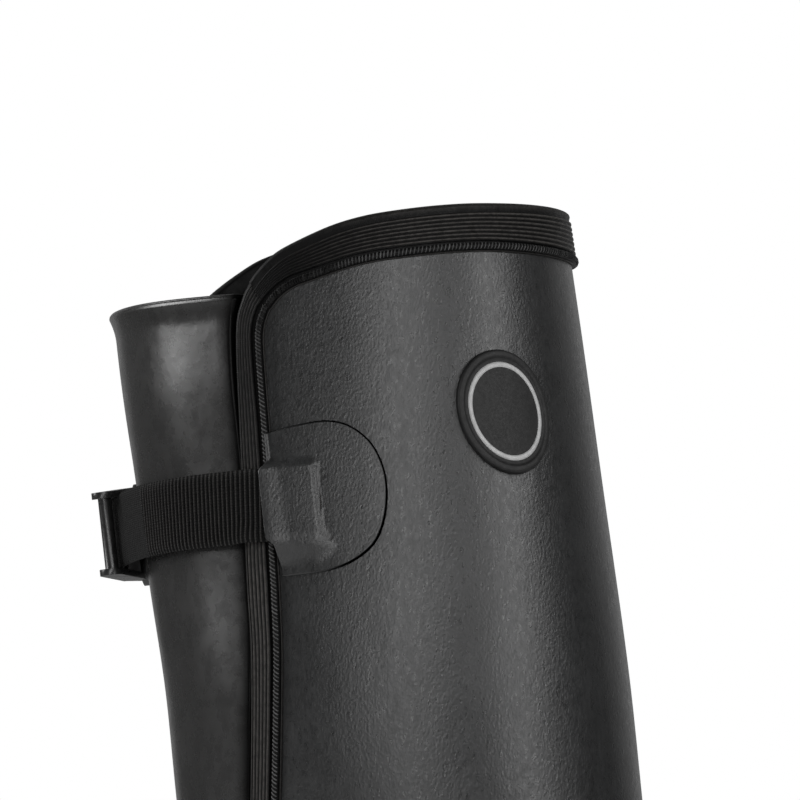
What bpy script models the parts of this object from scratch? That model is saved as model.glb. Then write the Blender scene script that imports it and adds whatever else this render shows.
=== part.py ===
"""A right-foot wellington boot: rubber over neoprene, with a calf gusset and a buckled strap across it.

Sizes are in millimetres and angles in degrees. MM turns sizes into metres as a mesh is made.
+X points to the toe, +Y to the inner side of the foot and +Z up. The origin is on the floor under the heel.
An angle round the leg is 0 on the outer side, 90 at the front, 180 on the inner side and -90 at the back.
"""

import math

import bmesh
import bpy
import numpy as np

MM = 0.001

# Walls and fits
WALL = 4.0
FIT_GAP = 0.3
COLUMNS = 48

# Sole and last, along the foot
HEEL_TOP, BALL_TOP, TOE_TOP = 27.0, 14.0, 23.0
HEEL_FLAT_END, BALL_START, BALL_END = 15.0, 140.0, 175.0
SOLE_FRONT_X = 255.0
TREAD_SPRING_START, TREAD_SPRING_RISE = 188.0, 11.0

# Stations along a section where its half-widths are stated, as shares of its length
HEEL_AT, WAIST_AT, BALL_AT = 0.12, 0.40, 0.66

# The upper's outer surface, a row for each section from the feather line to above the collar.
# follow is the share of the sole's curve that the section keeps; heel, waist and ball are the
# half-widths of the oval there; arch draws the inner waist in; toe_in carries the toe inwards;
# blunt is the power of the oval's ends, less than 1 for a blunter toe and heel.
SECTION_COLUMNS = (
    "back_x", "back_z", "front_x", "front_z", "follow", "heel", "waist", "ball", "arch", "toe_in", "blunt",
)
SECTIONS = (
    (-40.0, HEEL_TOP + FIT_GAP, SOLE_FRONT_X, TOE_TOP + FIT_GAP, 1.0, 42.5, 37.5, 50.0, 5.0, 9.0, 0.74),
    (-41.5, 39.0, 259.0, 36.0, 0.9, 44.0, 40.0, 51.5, 5.0, 9.0, 0.74),
    (-41.5, 50.0, 255.5, 49.5, 0.6, 45.0, 42.5, 51.5, 4.0, 9.0, 0.77),
    (-40.0, 60.0, 243.0, 60.0, 0.3, 45.5, 44.0, 50.0, 3.0, 8.5, 0.81),
    (-37.5, 70.0, 215.0, 69.5, 0.1, 45.5, 45.0, 48.0, 2.0, 7.0, 0.86),
    (-34.5, 81.0, 181.0, 81.0, 0.0, 45.5, 45.0, 46.0, 1.0, 4.0, 0.91),
    (-31.5, 94.0, 155.0, 97.0, 0.0, 45.5, 45.5, 45.0, 0.0, 2.0, 0.95),
    (-29.3, 111.0, 138.0, 118.0, 0.0, 46.0, 46.0, 45.0, 0.0, 0.5, 0.98),
    (-28.3, 132.0, 126.8, 140.0, 0.0, 47.5, 47.5, 46.5, 0.0, 0.0, 1.0),
    (-28.5, 156.0, 120.2, 164.0, 0.0, 50.5, 50.0, 49.0, 0.0, 0.0, 1.0),
    (-31.0, 190.0, 114.8, 198.0, 0.0, 55.0, 53.5, 52.5, 0.0, 0.0, 1.0),
    (-36.5, 240.0, 108.8, 248.0, 0.0, 60.0, 58.5, 57.0, 0.0, 0.0, 1.0),
    (-45.0, 297.0, 100.3, 305.0, 0.0, 63.0, 61.0, 59.0, 0.0, 0.0, 1.0),
    (-52.5, 345.0, 93.4, 352.0, 0.0, 64.5, 62.3, 60.0, 0.0, 0.0, 1.0),
    (-61.0, 400.0, 85.0, 406.0, 0.0, 65.5, 63.3, 61.0, 0.0, 0.0, 1.0),
)
SHAFT_FROM_ROW = 7
# Rows at which the closed lower part of the upper is meshed, below the gusset's notch
LOWER_ROWS = (0.0, 0.35, 0.7, 1.3, 2.0, 2.7, 3.4, 4.1, 4.9, 5.8, 6.8, 8.0)

# The notch for the gusset lies between these two columns of the grid, and its edges are angle and height
NOTCH_BACK_COLUMN, NOTCH_FRONT_COLUMN = 3, 7
NOTCH_CORNER_Z, NOTCH_FLOOR_Z = 153.0, 144.0
FRONT_EDGE = ((-29.0, 170.0), (-23.7, 190.0), (-14.9, 245.0), (-12.2, 272.0), (-8.4, 312.0), (-5.2, 346.0))
FRONT_CORNER = (-2.0, 357.0)
REAR_EDGE = ((-75.5, 170.0), (-80.5, 190.0), (-90.5, 245.0), (-99.0, 300.0), (-105.0, 335.0), (-109.0, 350.0))
REAR_CORNER = (-112.5, 358.5)
# The collar's line from the front corner round the front and the inner side to the rear corner
RIM = (
    (1.2, 362.3), (5.0, 366.8), (9.0, 370.0), (19.5, 375.6), (28.0, 378.7), (36.5, 380.6), (48.5, 382.6),
    (62.0, 384.1), (90.0, 386.0), (140.0, 388.0), (180.0, 388.8), (207.0, 387.5), (221.0, 383.0),
    (230.0, 377.0), (239.0, 369.5), (244.5, 363.5),
)
PANEL_ROWS, END_CROWDING, CURVE_STEPS = 11, 0.08, 24
LEG_RADIUS = 66.0
DEGREE_MM = math.radians(1.0) * LEG_RADIUS

# Binding tape along the collar and round the notch: ribs, then a raised seam at its inner edge
BINDING_THICK, BINDING_GAP = 1.2, 0.4
# Its width along the collar by angle, and beside the notch by height
COLLAR_WIDTHS = (
    (-2.0, 8.0), (2.5, 9.3), (9.0, 11.0), (19.0, 12.1), (32.0, 12.9), (60.0, 13.4), (90.0, 14.8),
    (115.0, 15.6), (200.0, 15.6), (225.0, 13.0), (238.0, 10.5), (247.5, 8.0),
)
NOTCH_WIDTHS = ((144.0, 9.4), (245.0, 9.7), (272.0, 10.1), (320.0, 8.9), (346.0, 7.8), (357.0, 8.0))
BINDING_ROUND, BINDING_DROP = 0.6, 0.4
BINDING_FINE_BELOW = 180.0
RIB_COUNT, RIB_HEIGHT, RIBS_FROM_SHARE, RIBS_TO_SHARE = 2, 0.5, 0.12, 0.72
SEAM_SHARE, SEAM_PEAK_SHARE, SEAM_HEIGHT, SEAM_EDGE_DROP = 0.82, 0.91, 0.6, 0.2

# Gusset
GUSSET_THICK, GUSSET_TUCK, TUCK_GAP, GUSSET_TOP_Z = 1.8, 5.0, 0.5, 357.0
GUSSET_RISE_FROM, GUSSET_RISE_OVER = 7.5, 8.0
GUSSET_LIP, GUSSET_LIP_DEEP = 1.4, 7.0
# Distances in from the gusset's tucked edge that get a line of the grid, and the lines between them
GUSSET_INSETS = (0.0, 7.5, 11.0, 15.5)
GUSSET_MIDDLE_COLUMNS, GUSSET_MIDDLE_ROWS = 9, 9

# Strap. Its middle falls a little towards the buckle, by millimetres for each degree.
STRAP_Z, STRAP_FALL, STRAP_WIDE, STRAP_THICK = 295.0, 0.04, 21.0, 1.5
STRAP_STEP = 4.0
CLEAR_OF_BINDING = 2.5
# Angle, then the strap's height off the leg there
FRONT_STRAP_LIFT = (
    (-62.0, 4.6), (-57.0, 3.2), (-51.0, 2.2), (-43.0, 1.4), (-20.0, 1.3), (-15.0, CLEAR_OF_BINDING),
    (-1.5, CLEAR_OF_BINDING), (3.0, 0.4), (6.0, 0.4),
)
REAR_STRAP_LIFT = ((-122.0, 0.4), (-117.0, 0.4), (-113.0, 1.2), (-109.5, 3.4), (-106.5, 5.5))
# The front strap's turn round the plug's bar, and the rear strap's line in the socket as along and out
WRAP_FROM, WRAP_TO, WRAP_STEPS = 20.0, 200.0, 7
REAR_STRAP_IN_SLOT = ((-21.6, 2.0), (-21.6, -2.0), (-21.7, -4.7), (-23.6, -5.9))

# Patches over the straps' ends. The outline runs from the foot of the cut edge, where the strap comes out of
# the pocket, round to its top, in millimetres forwards and up from the patch's middle.
PATCH_OUTLINE = (
    (-9.3, -23.2), (-3.5, -22.7), (4.0, -21.8), (11.1, -19.1), (17.5, -14.0), (21.3, -6.6), (23.1, 2.0),
    (22.8, 9.2), (20.4, 15.8), (15.4, 20.7), (9.1, 22.3), (0.8, 21.1), (-7.8, 19.0),
)
# Shares of the outline at which the grid's foot ends and its top begins
PATCH_FOOT_SHARE, PATCH_TOP_SHARE = 0.38, 0.64
PATCH_ABOVE_STRAP, PATCH_THICK, PATCH_STEPS = 2.0, 1.2, 9
FRONT_PATCH_ANGLE, REAR_PATCH_ANGLE = 4.6, -121.5
POCKET_SPARE, POCKET_LENGTH, POCKET_SOFT, POCKET_CLEAR = 1.2, 13.0, 2.5, 0.7
PATCH_OVER_BINDING, PATCH_DOWN_BY = 4.0, 8.0

# Buckle: a side-release buckle that lies on the strap, in its own frame of along, out and up
# It stands more upright than the leg's side, and its near end dips.
BUCKLE_ANGLE, BUCKLE_Z, BUCKLE_OUT, BUCKLE_UPRIGHT, BUCKLE_DIP = -83.0, 292.6, 7.0, 0.5, 0.06
BUCKLE_HALF_WIDE, BUCKLE_HALF_NEAR = 14.4, 12.8
RAIL_THICK, RAIL_DEEP, RAIL_NEAR, RAIL_FAR = 2.0, 7.0, 25.7, 2.0
NEAR_BAR_AT, NEAR_BAR_RADIUS, NEAR_BAR_OUT = 20.5, 2.1, 0.2
WEB_BAR_AT, WEB_BAR_RADIUS, WEB_BAR_OUT = 12.5, 1.7, -0.3
BAR_SINK = 0.5
SHOULDER_NEAR, SHOULDER_FAR, SHOULDER_DEEP, SHOULDER_INSET = 5.0, -1.5, 7.0, 0.4
PRONG_DEEP, PRONG_THICK, PRONG_END, PRONG_BULGE = 3.4, 3.0, -16.0, 4.6
PRONG_SINK, PRONG_CLEAR, PRONG_STEPS = 1.0, 1.2, 11
SOCKET_NEAR, SOCKET_FAR, SOCKET_DEEP, SOCKET_WALL = -2.0, -26.0, 8.6, 1.9
WINDOW_NEAR, WINDOW_FAR, SOCKET_HALF_WIDE = -6.5, -17.2, 14.2
CAVITY_NEAR, CAVITY_FAR = 0.0, -18.2
SLOT_NEAR, SLOT_FAR, SLOT_INSET, CUT_THROUGH = -20.2, -23.0, 0.6, 4.0
# The faces of a box whose corners run through its spans along, out and up
BOX_FACES = [(0, 1, 3, 2), (4, 6, 7, 5), (0, 4, 5, 1), (2, 3, 7, 6), (0, 2, 6, 4), (1, 5, 7, 3)]

# Badge: a plain oval with a raised rim
BADGE_ANGLE, BADGE_Z, BADGE_HALF_WIDE, BADGE_HALF_HIGH = 57.8, 322.5, 15.5, 18.5
BADGE_STEPS = 24
# Share of the oval, then height of the badge's face there
BADGE_PROFILE = ((1.0, 1.1), (0.96, 1.9), (0.86, 1.9), (0.82, 1.3), (0.4, 1.3))

# Outsole. The lip's rows lie on the upper; the side's rows are offset and share of the depth to the tread.
SOLE_LIP_ROWS, SOLE_LIP_THICK = (0.35, 0.7), 2.4
SOLE_SIDE = (
    (3.4, 0.0), (3.4, 0.14), (2.3, 0.2), (2.3, 0.3), (3.4, 0.36), (3.4, 0.52), (2.3, 0.58), (2.3, 0.68),
    (3.4, 0.74), (3.2, 0.92), (2.2, 1.0),
)
GROOVE_WIDE, GROOVE_DEEP, GROOVE_TAPER, GROOVE_SWEEP = 4.6, 4.2, 0.6, 20.0
SOLE_REACH, CUT_FROM_Z = 80.0, -3.0
# The gap under the arch, as along and height
ARCH_PROFILE = ((29.0, CUT_FROM_Z), (33.0, 9.0), (45.0, 11.5), (70.0, 10.0), (88.0, 5.0), (96.0, CUT_FROM_Z))
FOREFOOT_GROOVES = (108.0, 124.0, 140.0, 156.0, 172.0, 189.0, 207.0, 225.0)
HEEL_GROOVES = (-25.0, -9.0, 8.0)
INSOLE_THICK, INSOLE_CLEAR = 4.0, 1.2

SURFACES = {
    # colour, roughness
    "skin_rubber": ((0.035, 0.035, 0.037), 0.48),
    "gusset_rubber": ((0.045, 0.045, 0.047), 0.36),
    "binding_tape": ((0.012, 0.012, 0.012), 0.7),
    "webbing": ((0.012, 0.012, 0.012), 0.8),
    "buckle_plastic": ((0.014, 0.014, 0.015), 0.4),
    "sole_rubber": ((0.022, 0.022, 0.023), 0.6),
    "insole_foam": ((0.03, 0.03, 0.032), 0.9),
    "badge_rubber": ((0.03, 0.03, 0.032), 0.4),
}


def ease(share):
    """0 below 0 and 1 above 1, with a smooth step between."""
    t = np.clip(share, 0.0, 1.0)
    return t * t * (3.0 - 2.0 * t)


def sole_top(x):
    """Height of the sole's upper face, from the raised heel to the ball and up again at the toe."""
    drop = ease((BALL_START - x) / (BALL_START - HEEL_FLAT_END))
    spring = np.clip((x - BALL_END) / (SOLE_FRONT_X - BALL_END), 0.0, None)
    return BALL_TOP + (HEEL_TOP - BALL_TOP) * drop + (TOE_TOP - BALL_TOP) * spring**2


def tread(x):
    """Height of the tread before it is cut: flat, with the toe's spring."""
    spring = np.clip((x - TREAD_SPRING_START) / (SOLE_FRONT_X - TREAD_SPRING_START), 0.0, None)
    return TREAD_SPRING_RISE * spring**2


def section(row):
    """The columns of SECTIONS at a row that may lie between two, on a smooth curve through the table."""
    table = np.array(SECTIONS)
    row = np.clip(np.asarray(row, float), 0.0, len(table) - 1.0)
    low = np.minimum(row.astype(int), len(table) - 2)
    t = (row - low)[..., None]
    before, start = table[np.maximum(low - 1, 0)], table[low]
    end, after = table[low + 1], table[np.minimum(low + 2, len(table) - 1)]
    slope_in, slope_out = (end - before) / 2.0, (after - start) / 2.0
    found = start + t * slope_in + t**2 * (3 * (end - start) - 2 * slope_in - slope_out)
    found = found + t**3 * (2 * (start - end) + slope_in + slope_out)
    return {name: found[..., i] for i, name in enumerate(SECTION_COLUMNS)}


def skin(angle, row):
    """Points of the upper's outer surface at an angle and a row of SECTIONS."""
    s = section(row)
    theta = np.radians(angle)
    along = (1.0 + np.sin(theta)) / 2.0
    x = s["back_x"] + (s["front_x"] - s["back_x"]) * along
    inner = np.cos(theta) < 0.0
    waist = s["waist"] - np.where(inner, s["arch"], 0.0)
    to_waist = ease((along - HEEL_AT) / (WAIST_AT - HEEL_AT))
    to_ball = ease((along - WAIST_AT) / (BALL_AT - WAIST_AT))
    half = s["heel"] + (waist - s["heel"]) * to_waist + (s["ball"] - waist) * to_ball
    across = np.sign(np.cos(theta)) * np.abs(np.cos(theta)) ** s["blunt"]
    y = -half * across + s["toe_in"] * ease((along - WAIST_AT) / (1.0 - WAIST_AT))
    chord = sole_top(s["back_x"]) + (sole_top(s["front_x"]) - sole_top(s["back_x"])) * along
    z = s["back_z"] + (s["front_z"] - s["back_z"]) * along + s["follow"] * (sole_top(x) - chord)
    return np.stack([x, y, z], axis=-1)


def skin_off(angle, row, off):
    """Points at a distance off the upper's outer surface, outwards."""
    angle, row, off = np.broadcast_arrays(*(np.asarray(v, float) for v in (angle, row, off)))
    step_angle, step_row = 0.05, 0.002
    round_leg = skin(angle + step_angle, row) - skin(angle - step_angle, row)
    up_leg = skin(angle, row + step_row) - skin(angle, row - step_row)
    normal = np.cross(round_leg, up_leg)
    normal /= np.linalg.norm(normal, axis=-1, keepdims=True)
    return skin(angle, row) + normal * off[..., None]


def row_at(angle, z):
    """The row of SECTIONS where the shaft has this height at this angle."""
    angle, z = np.broadcast_arrays(np.asarray(angle, float), np.asarray(z, float))
    low = np.full(z.shape, float(SHAFT_FROM_ROW))
    high = np.full(z.shape, len(SECTIONS) - 1.0)
    halvings = 40
    for _ in range(halvings):
        middle = (low + high) / 2.0
        below = skin(angle, middle)[..., 2] < z
        low, high = np.where(below, middle, low), np.where(below, high, middle)
    return (low + high) / 2.0


def leg(angle, z, off=0.0):
    """Points off the shaft at an angle and a height."""
    return skin_off(angle, row_at(angle, z), off)


def degree_mm(angle, z):
    """How many millimetres of the shaft's surface one degree takes up there."""
    return np.linalg.norm(leg(angle + 0.5, z) - leg(angle - 0.5, z), axis=-1)


def through(points, shares):
    """Points at shares of the length of a smooth curve through a short table of angle and height."""
    table = np.array(points, float)
    table = np.vstack([2 * table[0] - table[1], table, 2 * table[-1] - table[-2]])
    fine = []
    for a, b, c, d in zip(table, table[1:], table[2:], table[3:]):
        for t in np.linspace(0.0, 1.0, CURVE_STEPS, endpoint=False):
            bend = (2 * a - 5 * b + 4 * c - d) * t**2 + (3 * b - a - 3 * c + d) * t**3
            fine.append(b + ((c - a) * t + bend) / 2.0)
    fine = np.array(fine + [table[-2]])
    reach = np.linalg.norm(np.diff(fine, axis=0) * (DEGREE_MM, 1.0), axis=1)
    gone = np.concatenate([[0.0], np.cumsum(reach)])
    wanted = np.asarray(shares) * gone[-1]
    return np.stack([np.interp(wanted, gone, fine[:, 0]), np.interp(wanted, gone, fine[:, 1])], axis=-1)


def filled(near, far, foot, top):
    """A grid between four edges: near and far run up, foot and top run from near to far."""
    v = np.linspace(0.0, 1.0, len(near))[:, None, None]
    u = np.linspace(0.0, 1.0, len(foot))[None, :, None]
    across = near[:, None] * (1 - u) + far[:, None] * u
    upwards = foot[None] * (1 - v) + top[None] * v
    corners = (near[0] * (1 - u) + far[0] * u) * (1 - v) + (near[-1] * (1 - u) + far[-1] * u) * v
    return across + upwards - corners


def column_angles():
    """The angles of the grid's columns, from the back round the outer side."""
    return -90.0 + 360.0 * np.arange(COLUMNS) / COLUMNS


def notch_floor(angle):
    """Height of the notch's rounded bottom between its two corners."""
    ends = column_angles()[[NOTCH_BACK_COLUMN, NOTCH_FRONT_COLUMN]]
    share = (angle - ends.mean()) / (ends[1] - ends[0]) * 2.0
    return NOTCH_FLOOR_Z + (NOTCH_CORNER_Z - NOTCH_FLOOR_Z) * share**2


def panel_edges():
    """The shaft panel's front edge, rear edge, foot and rim, each as angle and height."""
    angles = column_angles()
    front_foot = (angles[NOTCH_FRONT_COLUMN], NOTCH_CORNER_Z)
    rear_foot = (angles[NOTCH_BACK_COLUMN], NOTCH_CORNER_Z)
    even = np.linspace(0.0, 1.0, PANEL_ROWS + 1)
    up = even - np.sin(2.0 * math.pi * even) * END_CROWDING
    near = through((front_foot, *FRONT_EDGE, FRONT_CORNER), up)
    far = through((rear_foot, *REAR_EDGE, REAR_CORNER), up)
    far[:, 0] += 360.0
    count = COLUMNS - (NOTCH_FRONT_COLUMN - NOTCH_BACK_COLUMN)
    turned = np.linspace(near[0, 0], far[0, 0], count + 1)
    foot = np.stack([turned, np.full(count + 1, NOTCH_CORNER_Z)], axis=-1)
    rim = through((FRONT_CORNER, *RIM, tuple(far[-1])), np.linspace(0.0, 1.0, count + 1))
    return near, far, foot, rim


def edge_loop():
    """The panel's whole edge as a closed loop: up the front of the notch, round the collar and back."""
    near, far, _, rim = panel_edges()
    angles = column_angles()[NOTCH_BACK_COLUMN + 1:NOTCH_FRONT_COLUMN]
    floor = np.stack([angles, notch_floor(angles)], axis=-1)
    back_round = far[::-1].copy()
    back_round[:, 0] -= 360.0
    return np.vstack([near, rim[1:-1], back_round, floor])


def material(name):
    """The Principled material of one surface."""
    made = bpy.data.materials.get(name)
    if made is None:
        made = bpy.data.materials.new(name)
        made.use_nodes = True
        colour, rough = SURFACES[name]
        shader = made.node_tree.nodes["Principled BSDF"]
        shader.inputs["Base Color"].default_value = (*colour, 1.0)
        shader.inputs["Roughness"].default_value = rough
    return made


def solid(name, points, faces, surface, sharp=40.0):
    """One closed mesh object from points in millimetres."""
    mesh = bpy.data.meshes.new(name)
    mesh.from_pydata([tuple(p * MM) for p in np.asarray(points)], [], faces)
    shaped = bmesh.new()
    shaped.from_mesh(mesh)
    bmesh.ops.recalc_face_normals(shaped, faces=shaped.faces)
    shaped.to_mesh(mesh)
    shaped.free()
    mesh.shade_smooth()
    mesh.set_sharp_from_angle(angle=math.radians(sharp))
    mesh.materials.append(material(surface))
    made = bpy.data.objects.new(name, mesh)
    bpy.context.scene.collection.objects.link(made)
    return made


def rings(points_of_rings, closed=True):
    """Quads between rows of points; a closed row joins its end to its start."""
    count = len(points_of_rings[0])
    last = count if closed else count - 1
    faces = []
    for k in range(len(points_of_rings) - 1):
        for i in range(last):
            j = (i + 1) % count
            faces.append((k * count + i, k * count + j, (k + 1) * count + j, (k + 1) * count + i))
    return faces


def cap(start, count):
    """Faces across a closed row whose points pair off over the foot's length."""
    faces = [(start, start + 1, start + count - 1)]
    for i in range(1, count // 2 - 1):
        faces.append((start + i, start + i + 1, start + count - i - 1, start + count - i))
    faces.append((start + count // 2 - 1, start + count // 2, start + count // 2 + 1))
    return faces


def capped_rings(name, rows, surface):
    """A solid from closed rows of points, with its first and last rows filled."""
    count = len(rows[0])
    faces = rings(rows) + cap(0, count) + cap((len(rows) - 1) * count, count)
    return solid(name, np.vstack(rows), faces, surface)


def sheet(name, outer, inner, surface):
    """A solid between two open grids of points, walled round its edge."""
    rows, columns = outer.shape[:2]
    total = rows * columns
    front = rings(outer, closed=False)
    back = [tuple(total + i for i in reversed(face)) for face in front]
    border = list(range(columns))
    border += [k * columns + columns - 1 for k in range(1, rows)]
    border += [(rows - 1) * columns + i for i in range(columns - 2, -1, -1)]
    border += [k * columns for k in range(rows - 2, 0, -1)]
    walls = [(a, total + a, total + b, b) for a, b in zip(border, border[1:] + border[:1])]
    points = np.vstack([outer.reshape(-1, 3), inner.reshape(-1, 3)])
    return solid(name, points, front + back + walls, surface)


def upper():
    """The hollow upper: closed rows below the notch, then the shaft's panel, open at collar and sole."""
    angles = column_angles()
    near, far, foot, rim = panel_edges()
    panel = filled(near, far, foot, rim)[1:]
    base_z = np.full(COLUMNS, NOTCH_CORNER_Z)
    in_floor = slice(NOTCH_BACK_COLUMN, NOTCH_FRONT_COLUMN + 1)
    base_z[in_floor] = notch_floor(angles[in_floor])
    layers = []
    for off in (0.0, -WALL):
        lower = [skin_off(angles, row, off) for row in LOWER_ROWS]
        lower.append(leg(angles, base_z, off))
        layers.append(np.vstack(lower + [leg(r[:, 0], r[:, 1], off) for r in panel]))
    total = len(layers[0])
    base = len(LOWER_ROWS) * COLUMNS
    width = panel.shape[1]
    order = [(NOTCH_FRONT_COLUMN + i) % COLUMNS for i in range(width)]
    panel_rows = [[base + i for i in order]]
    for k in range(len(panel)):
        start = base + COLUMNS + k * width
        panel_rows.append(list(range(start, start + width)))
    faces = rings([angles] * (len(LOWER_ROWS) + 1))
    for low, high in zip(panel_rows, panel_rows[1:]):
        faces += [(low[i], low[i + 1], high[i + 1], high[i]) for i in range(width - 1)]
    border = [row[0] for row in panel_rows] + panel_rows[-1][1:]
    border += [row[-1] for row in panel_rows[-2::-1]]
    border += [base + i for i in range(NOTCH_BACK_COLUMN + 1, NOTCH_FRONT_COLUMN)]
    feather = list(range(COLUMNS))
    walls = []
    for loop in (border, feather):
        walls += [(a, total + a, total + b, b) for a, b in zip(loop, loop[1:] + loop[:1])]
    inside = [tuple(total + i for i in reversed(face)) for face in faces]
    return solid("upper", np.vstack(layers), faces + inside + walls, "skin_rubber")


def binding_width(angle, z):
    """Width of the binding: wide along the collar, narrow beside the notch."""
    turned = np.where(angle < FRONT_CORNER[0], angle + 360.0, angle)
    on_collar = np.interp(turned, *np.array(COLLAR_WIDTHS).T)
    by_notch = np.interp(z, *np.array(NOTCH_WIDTHS).T)
    return np.where(z < FRONT_CORNER[1], by_notch, on_collar)


def finer_below(loop, z):
    """A loop with a point added halfway along each of its stretches below a height."""
    finer = []
    for here, after in zip(loop, np.roll(loop, -1, axis=0)):
        finer.append(here)
        if max(here[1], after[1]) < z:
            finer.append((here + after) / 2.0)
    return np.array(finer)


def binding_profile():
    """The binding's cross-section: share of its width in from the edge, distance in and height off."""
    top = BINDING_GAP + BINDING_THICK
    over = FIT_GAP + BINDING_THICK
    rows = [(0.0, -over, -WALL), (0.0, -over, top - BINDING_DROP), (0.0, BINDING_ROUND - over, top)]
    ribs = np.linspace(RIBS_FROM_SHARE, RIBS_TO_SHARE, 2 * RIB_COUNT)
    rows += [(share, 0.0, top + RIB_HEIGHT * (i % 2)) for i, share in enumerate(ribs)]
    rows += [(SEAM_SHARE, 0.0, top), (SEAM_PEAK_SHARE, 0.0, top + SEAM_HEIGHT)]
    rows += [(1.0, 0.0, top - SEAM_EDGE_DROP), (1.0, 0.0, BINDING_GAP), (0.5, 0.0, BINDING_GAP)]
    rows += [(0.0, -FIT_GAP, BINDING_GAP), (0.0, -FIT_GAP, -WALL)]
    return rows


def binding():
    """The ribbed tape that binds the panel's edge, carried round the whole loop."""
    loop = finer_below(edge_loop(), BINDING_FINE_BELOW)
    scale = degree_mm(loop[:, 0], loop[:, 1])
    run = np.roll(loop, -1, axis=0) - np.roll(loop, 1, axis=0)
    run[:, 0] = (run[:, 0] + 180.0) % 360.0 - 180.0
    run[:, 0] *= scale
    run /= np.linalg.norm(run, axis=1, keepdims=True)
    width = binding_width(loop[:, 0], loop[:, 1])
    rows = []
    for share, in_from_edge, height in binding_profile():
        reach = share * width + in_from_edge
        rows.append(leg(loop[:, 0] + run[:, 1] * reach / scale, loop[:, 1] - run[:, 0] * reach, height))
    count = len(rows) * len(loop)
    faces = [tuple(i % count for i in face) for face in rings(rows + rows[:1])]
    return solid("binding", np.vstack(rows), faces, "binding_tape", sharp=60.0)


def inset_lines(length, middle):
    """Places across a length: the stated insets from its two ends, and even steps between."""
    insets = np.array(GUSSET_INSETS)
    between = np.linspace(insets[-1], length - insets[-1], middle + 1)[1:-1]
    return np.concatenate([insets, between, length - insets[::-1]])


def gusset_grid():
    """The gusset's grid of angle and height, and each point's distance in from its tucked edges."""
    near, far, _, _ = panel_edges()
    ends = column_angles()[[NOTCH_BACK_COLUMN, NOTCH_FRONT_COLUMN]]
    side_foot = NOTCH_CORNER_Z - GUSSET_TUCK
    tall = GUSSET_TOP_Z - side_foot
    heights = inset_lines(tall, GUSSET_MIDDLE_ROWS)
    grid, inset = [], []
    for height in heights:
        z = side_foot + height
        front = np.interp(z, near[:, 1], near[:, 0])
        rear = np.interp(z, far[:, 1], far[:, 0]) - 360.0
        front += GUSSET_TUCK / degree_mm(front, z)
        rear -= GUSSET_TUCK / degree_mm(rear, z)
        wide = (front - rear) * degree_mm((front + rear) / 2.0, z)
        across = inset_lines(wide, GUSSET_MIDDLE_COLUMNS)
        angle = rear + (front - rear) * across / wide
        on_floor = np.clip(angle, *ends)
        floor = notch_floor(on_floor) - GUSSET_TUCK
        slope = (notch_floor(on_floor + 0.5) - notch_floor(on_floor - 0.5)) / degree_mm(on_floor, z)
        share = height / tall
        level = floor + (GUSSET_TOP_Z - floor) * share
        from_foot = (level - floor) / np.sqrt(1.0 + slope**2)
        grid.append(np.stack([angle, level], axis=-1))
        inset.append(np.minimum.reduce([across, wide - across, from_foot]))
    return np.array(grid), np.array(inset)


def gusset_height(z, inset):
    """How far the gusset's face stands off the shaft: tucked under the panel, then out, with a lip on top."""
    tucked = 1.0 - ease((inset - GUSSET_RISE_FROM) / GUSSET_RISE_OVER)
    lip = GUSSET_LIP * ease((z - GUSSET_TOP_Z + GUSSET_LIP_DEEP) / GUSSET_LIP_DEEP)
    return -(WALL + TUCK_GAP) * tucked + lip * (1.0 - tucked)


def gusset():
    """The smooth rubber gusset that fills the notch."""
    grid, inset = gusset_grid()
    height = gusset_height(grid[..., 1], inset)
    outer = leg(grid[..., 0], grid[..., 1], height)
    inner = leg(grid[..., 0], grid[..., 1], height - GUSSET_THICK)
    return sheet("gusset", outer, inner, "gusset_rubber")


def strap_z(angle):
    """Height of the strap's middle at an angle."""
    return STRAP_Z + STRAP_FALL * angle


def patch_grid():
    """A patch's grid in millimetres from its middle, and each point's distance from its cut edge."""

    def stretch(start, end):
        return through(PATCH_OUTLINE, np.linspace(start, end, PATCH_STEPS + 1))

    foot, top = stretch(0.0, PATCH_FOOT_SHARE), stretch(1.0, PATCH_TOP_SHARE)
    far = stretch(PATCH_FOOT_SHARE, PATCH_TOP_SHARE)
    share = np.linspace(0.0, 1.0, PATCH_STEPS + 1)[:, None]
    near = foot[0] + (top[0] - foot[0]) * share
    grid = filled(near, far, foot, top)
    return grid, grid[..., 0] - np.interp(grid[..., 1], near[:, 1], near[:, 0])


def patch(name, angle, lift, over, facing):
    """A rubber patch that holds a strap's end, over what lies under its cut edge and over the strap.

    facing is 1 where the cut edge looks back along the leg, and -1 where it looks the other way.
    """
    grid, from_cut = patch_grid()
    middle_z = strap_z(angle) + PATCH_ABOVE_STRAP
    angles, heights = angle + facing * grid[..., 0] / DEGREE_MM, middle_z + grid[..., 1]
    down = ease((from_cut - PATCH_OVER_BINDING) / (PATCH_DOWN_BY - PATCH_OVER_BINDING))
    under = over + (FIT_GAP - over) * down
    strap_top = np.interp(angles, *np.array(lift).T) + STRAP_THICK + POCKET_CLEAR
    beside = np.abs(heights - strap_z(angles)) - STRAP_WIDE / 2.0 - POCKET_SPARE
    pocket = 1.0 - ease(np.maximum(beside, from_cut - POCKET_LENGTH) / POCKET_SOFT)
    under = under + (np.maximum(strap_top, under) - under) * pocket
    outer = leg(angles, heights, under + PATCH_THICK)
    inner = leg(angles, heights, under)
    return sheet(name, outer, inner, "skin_rubber")


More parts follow.
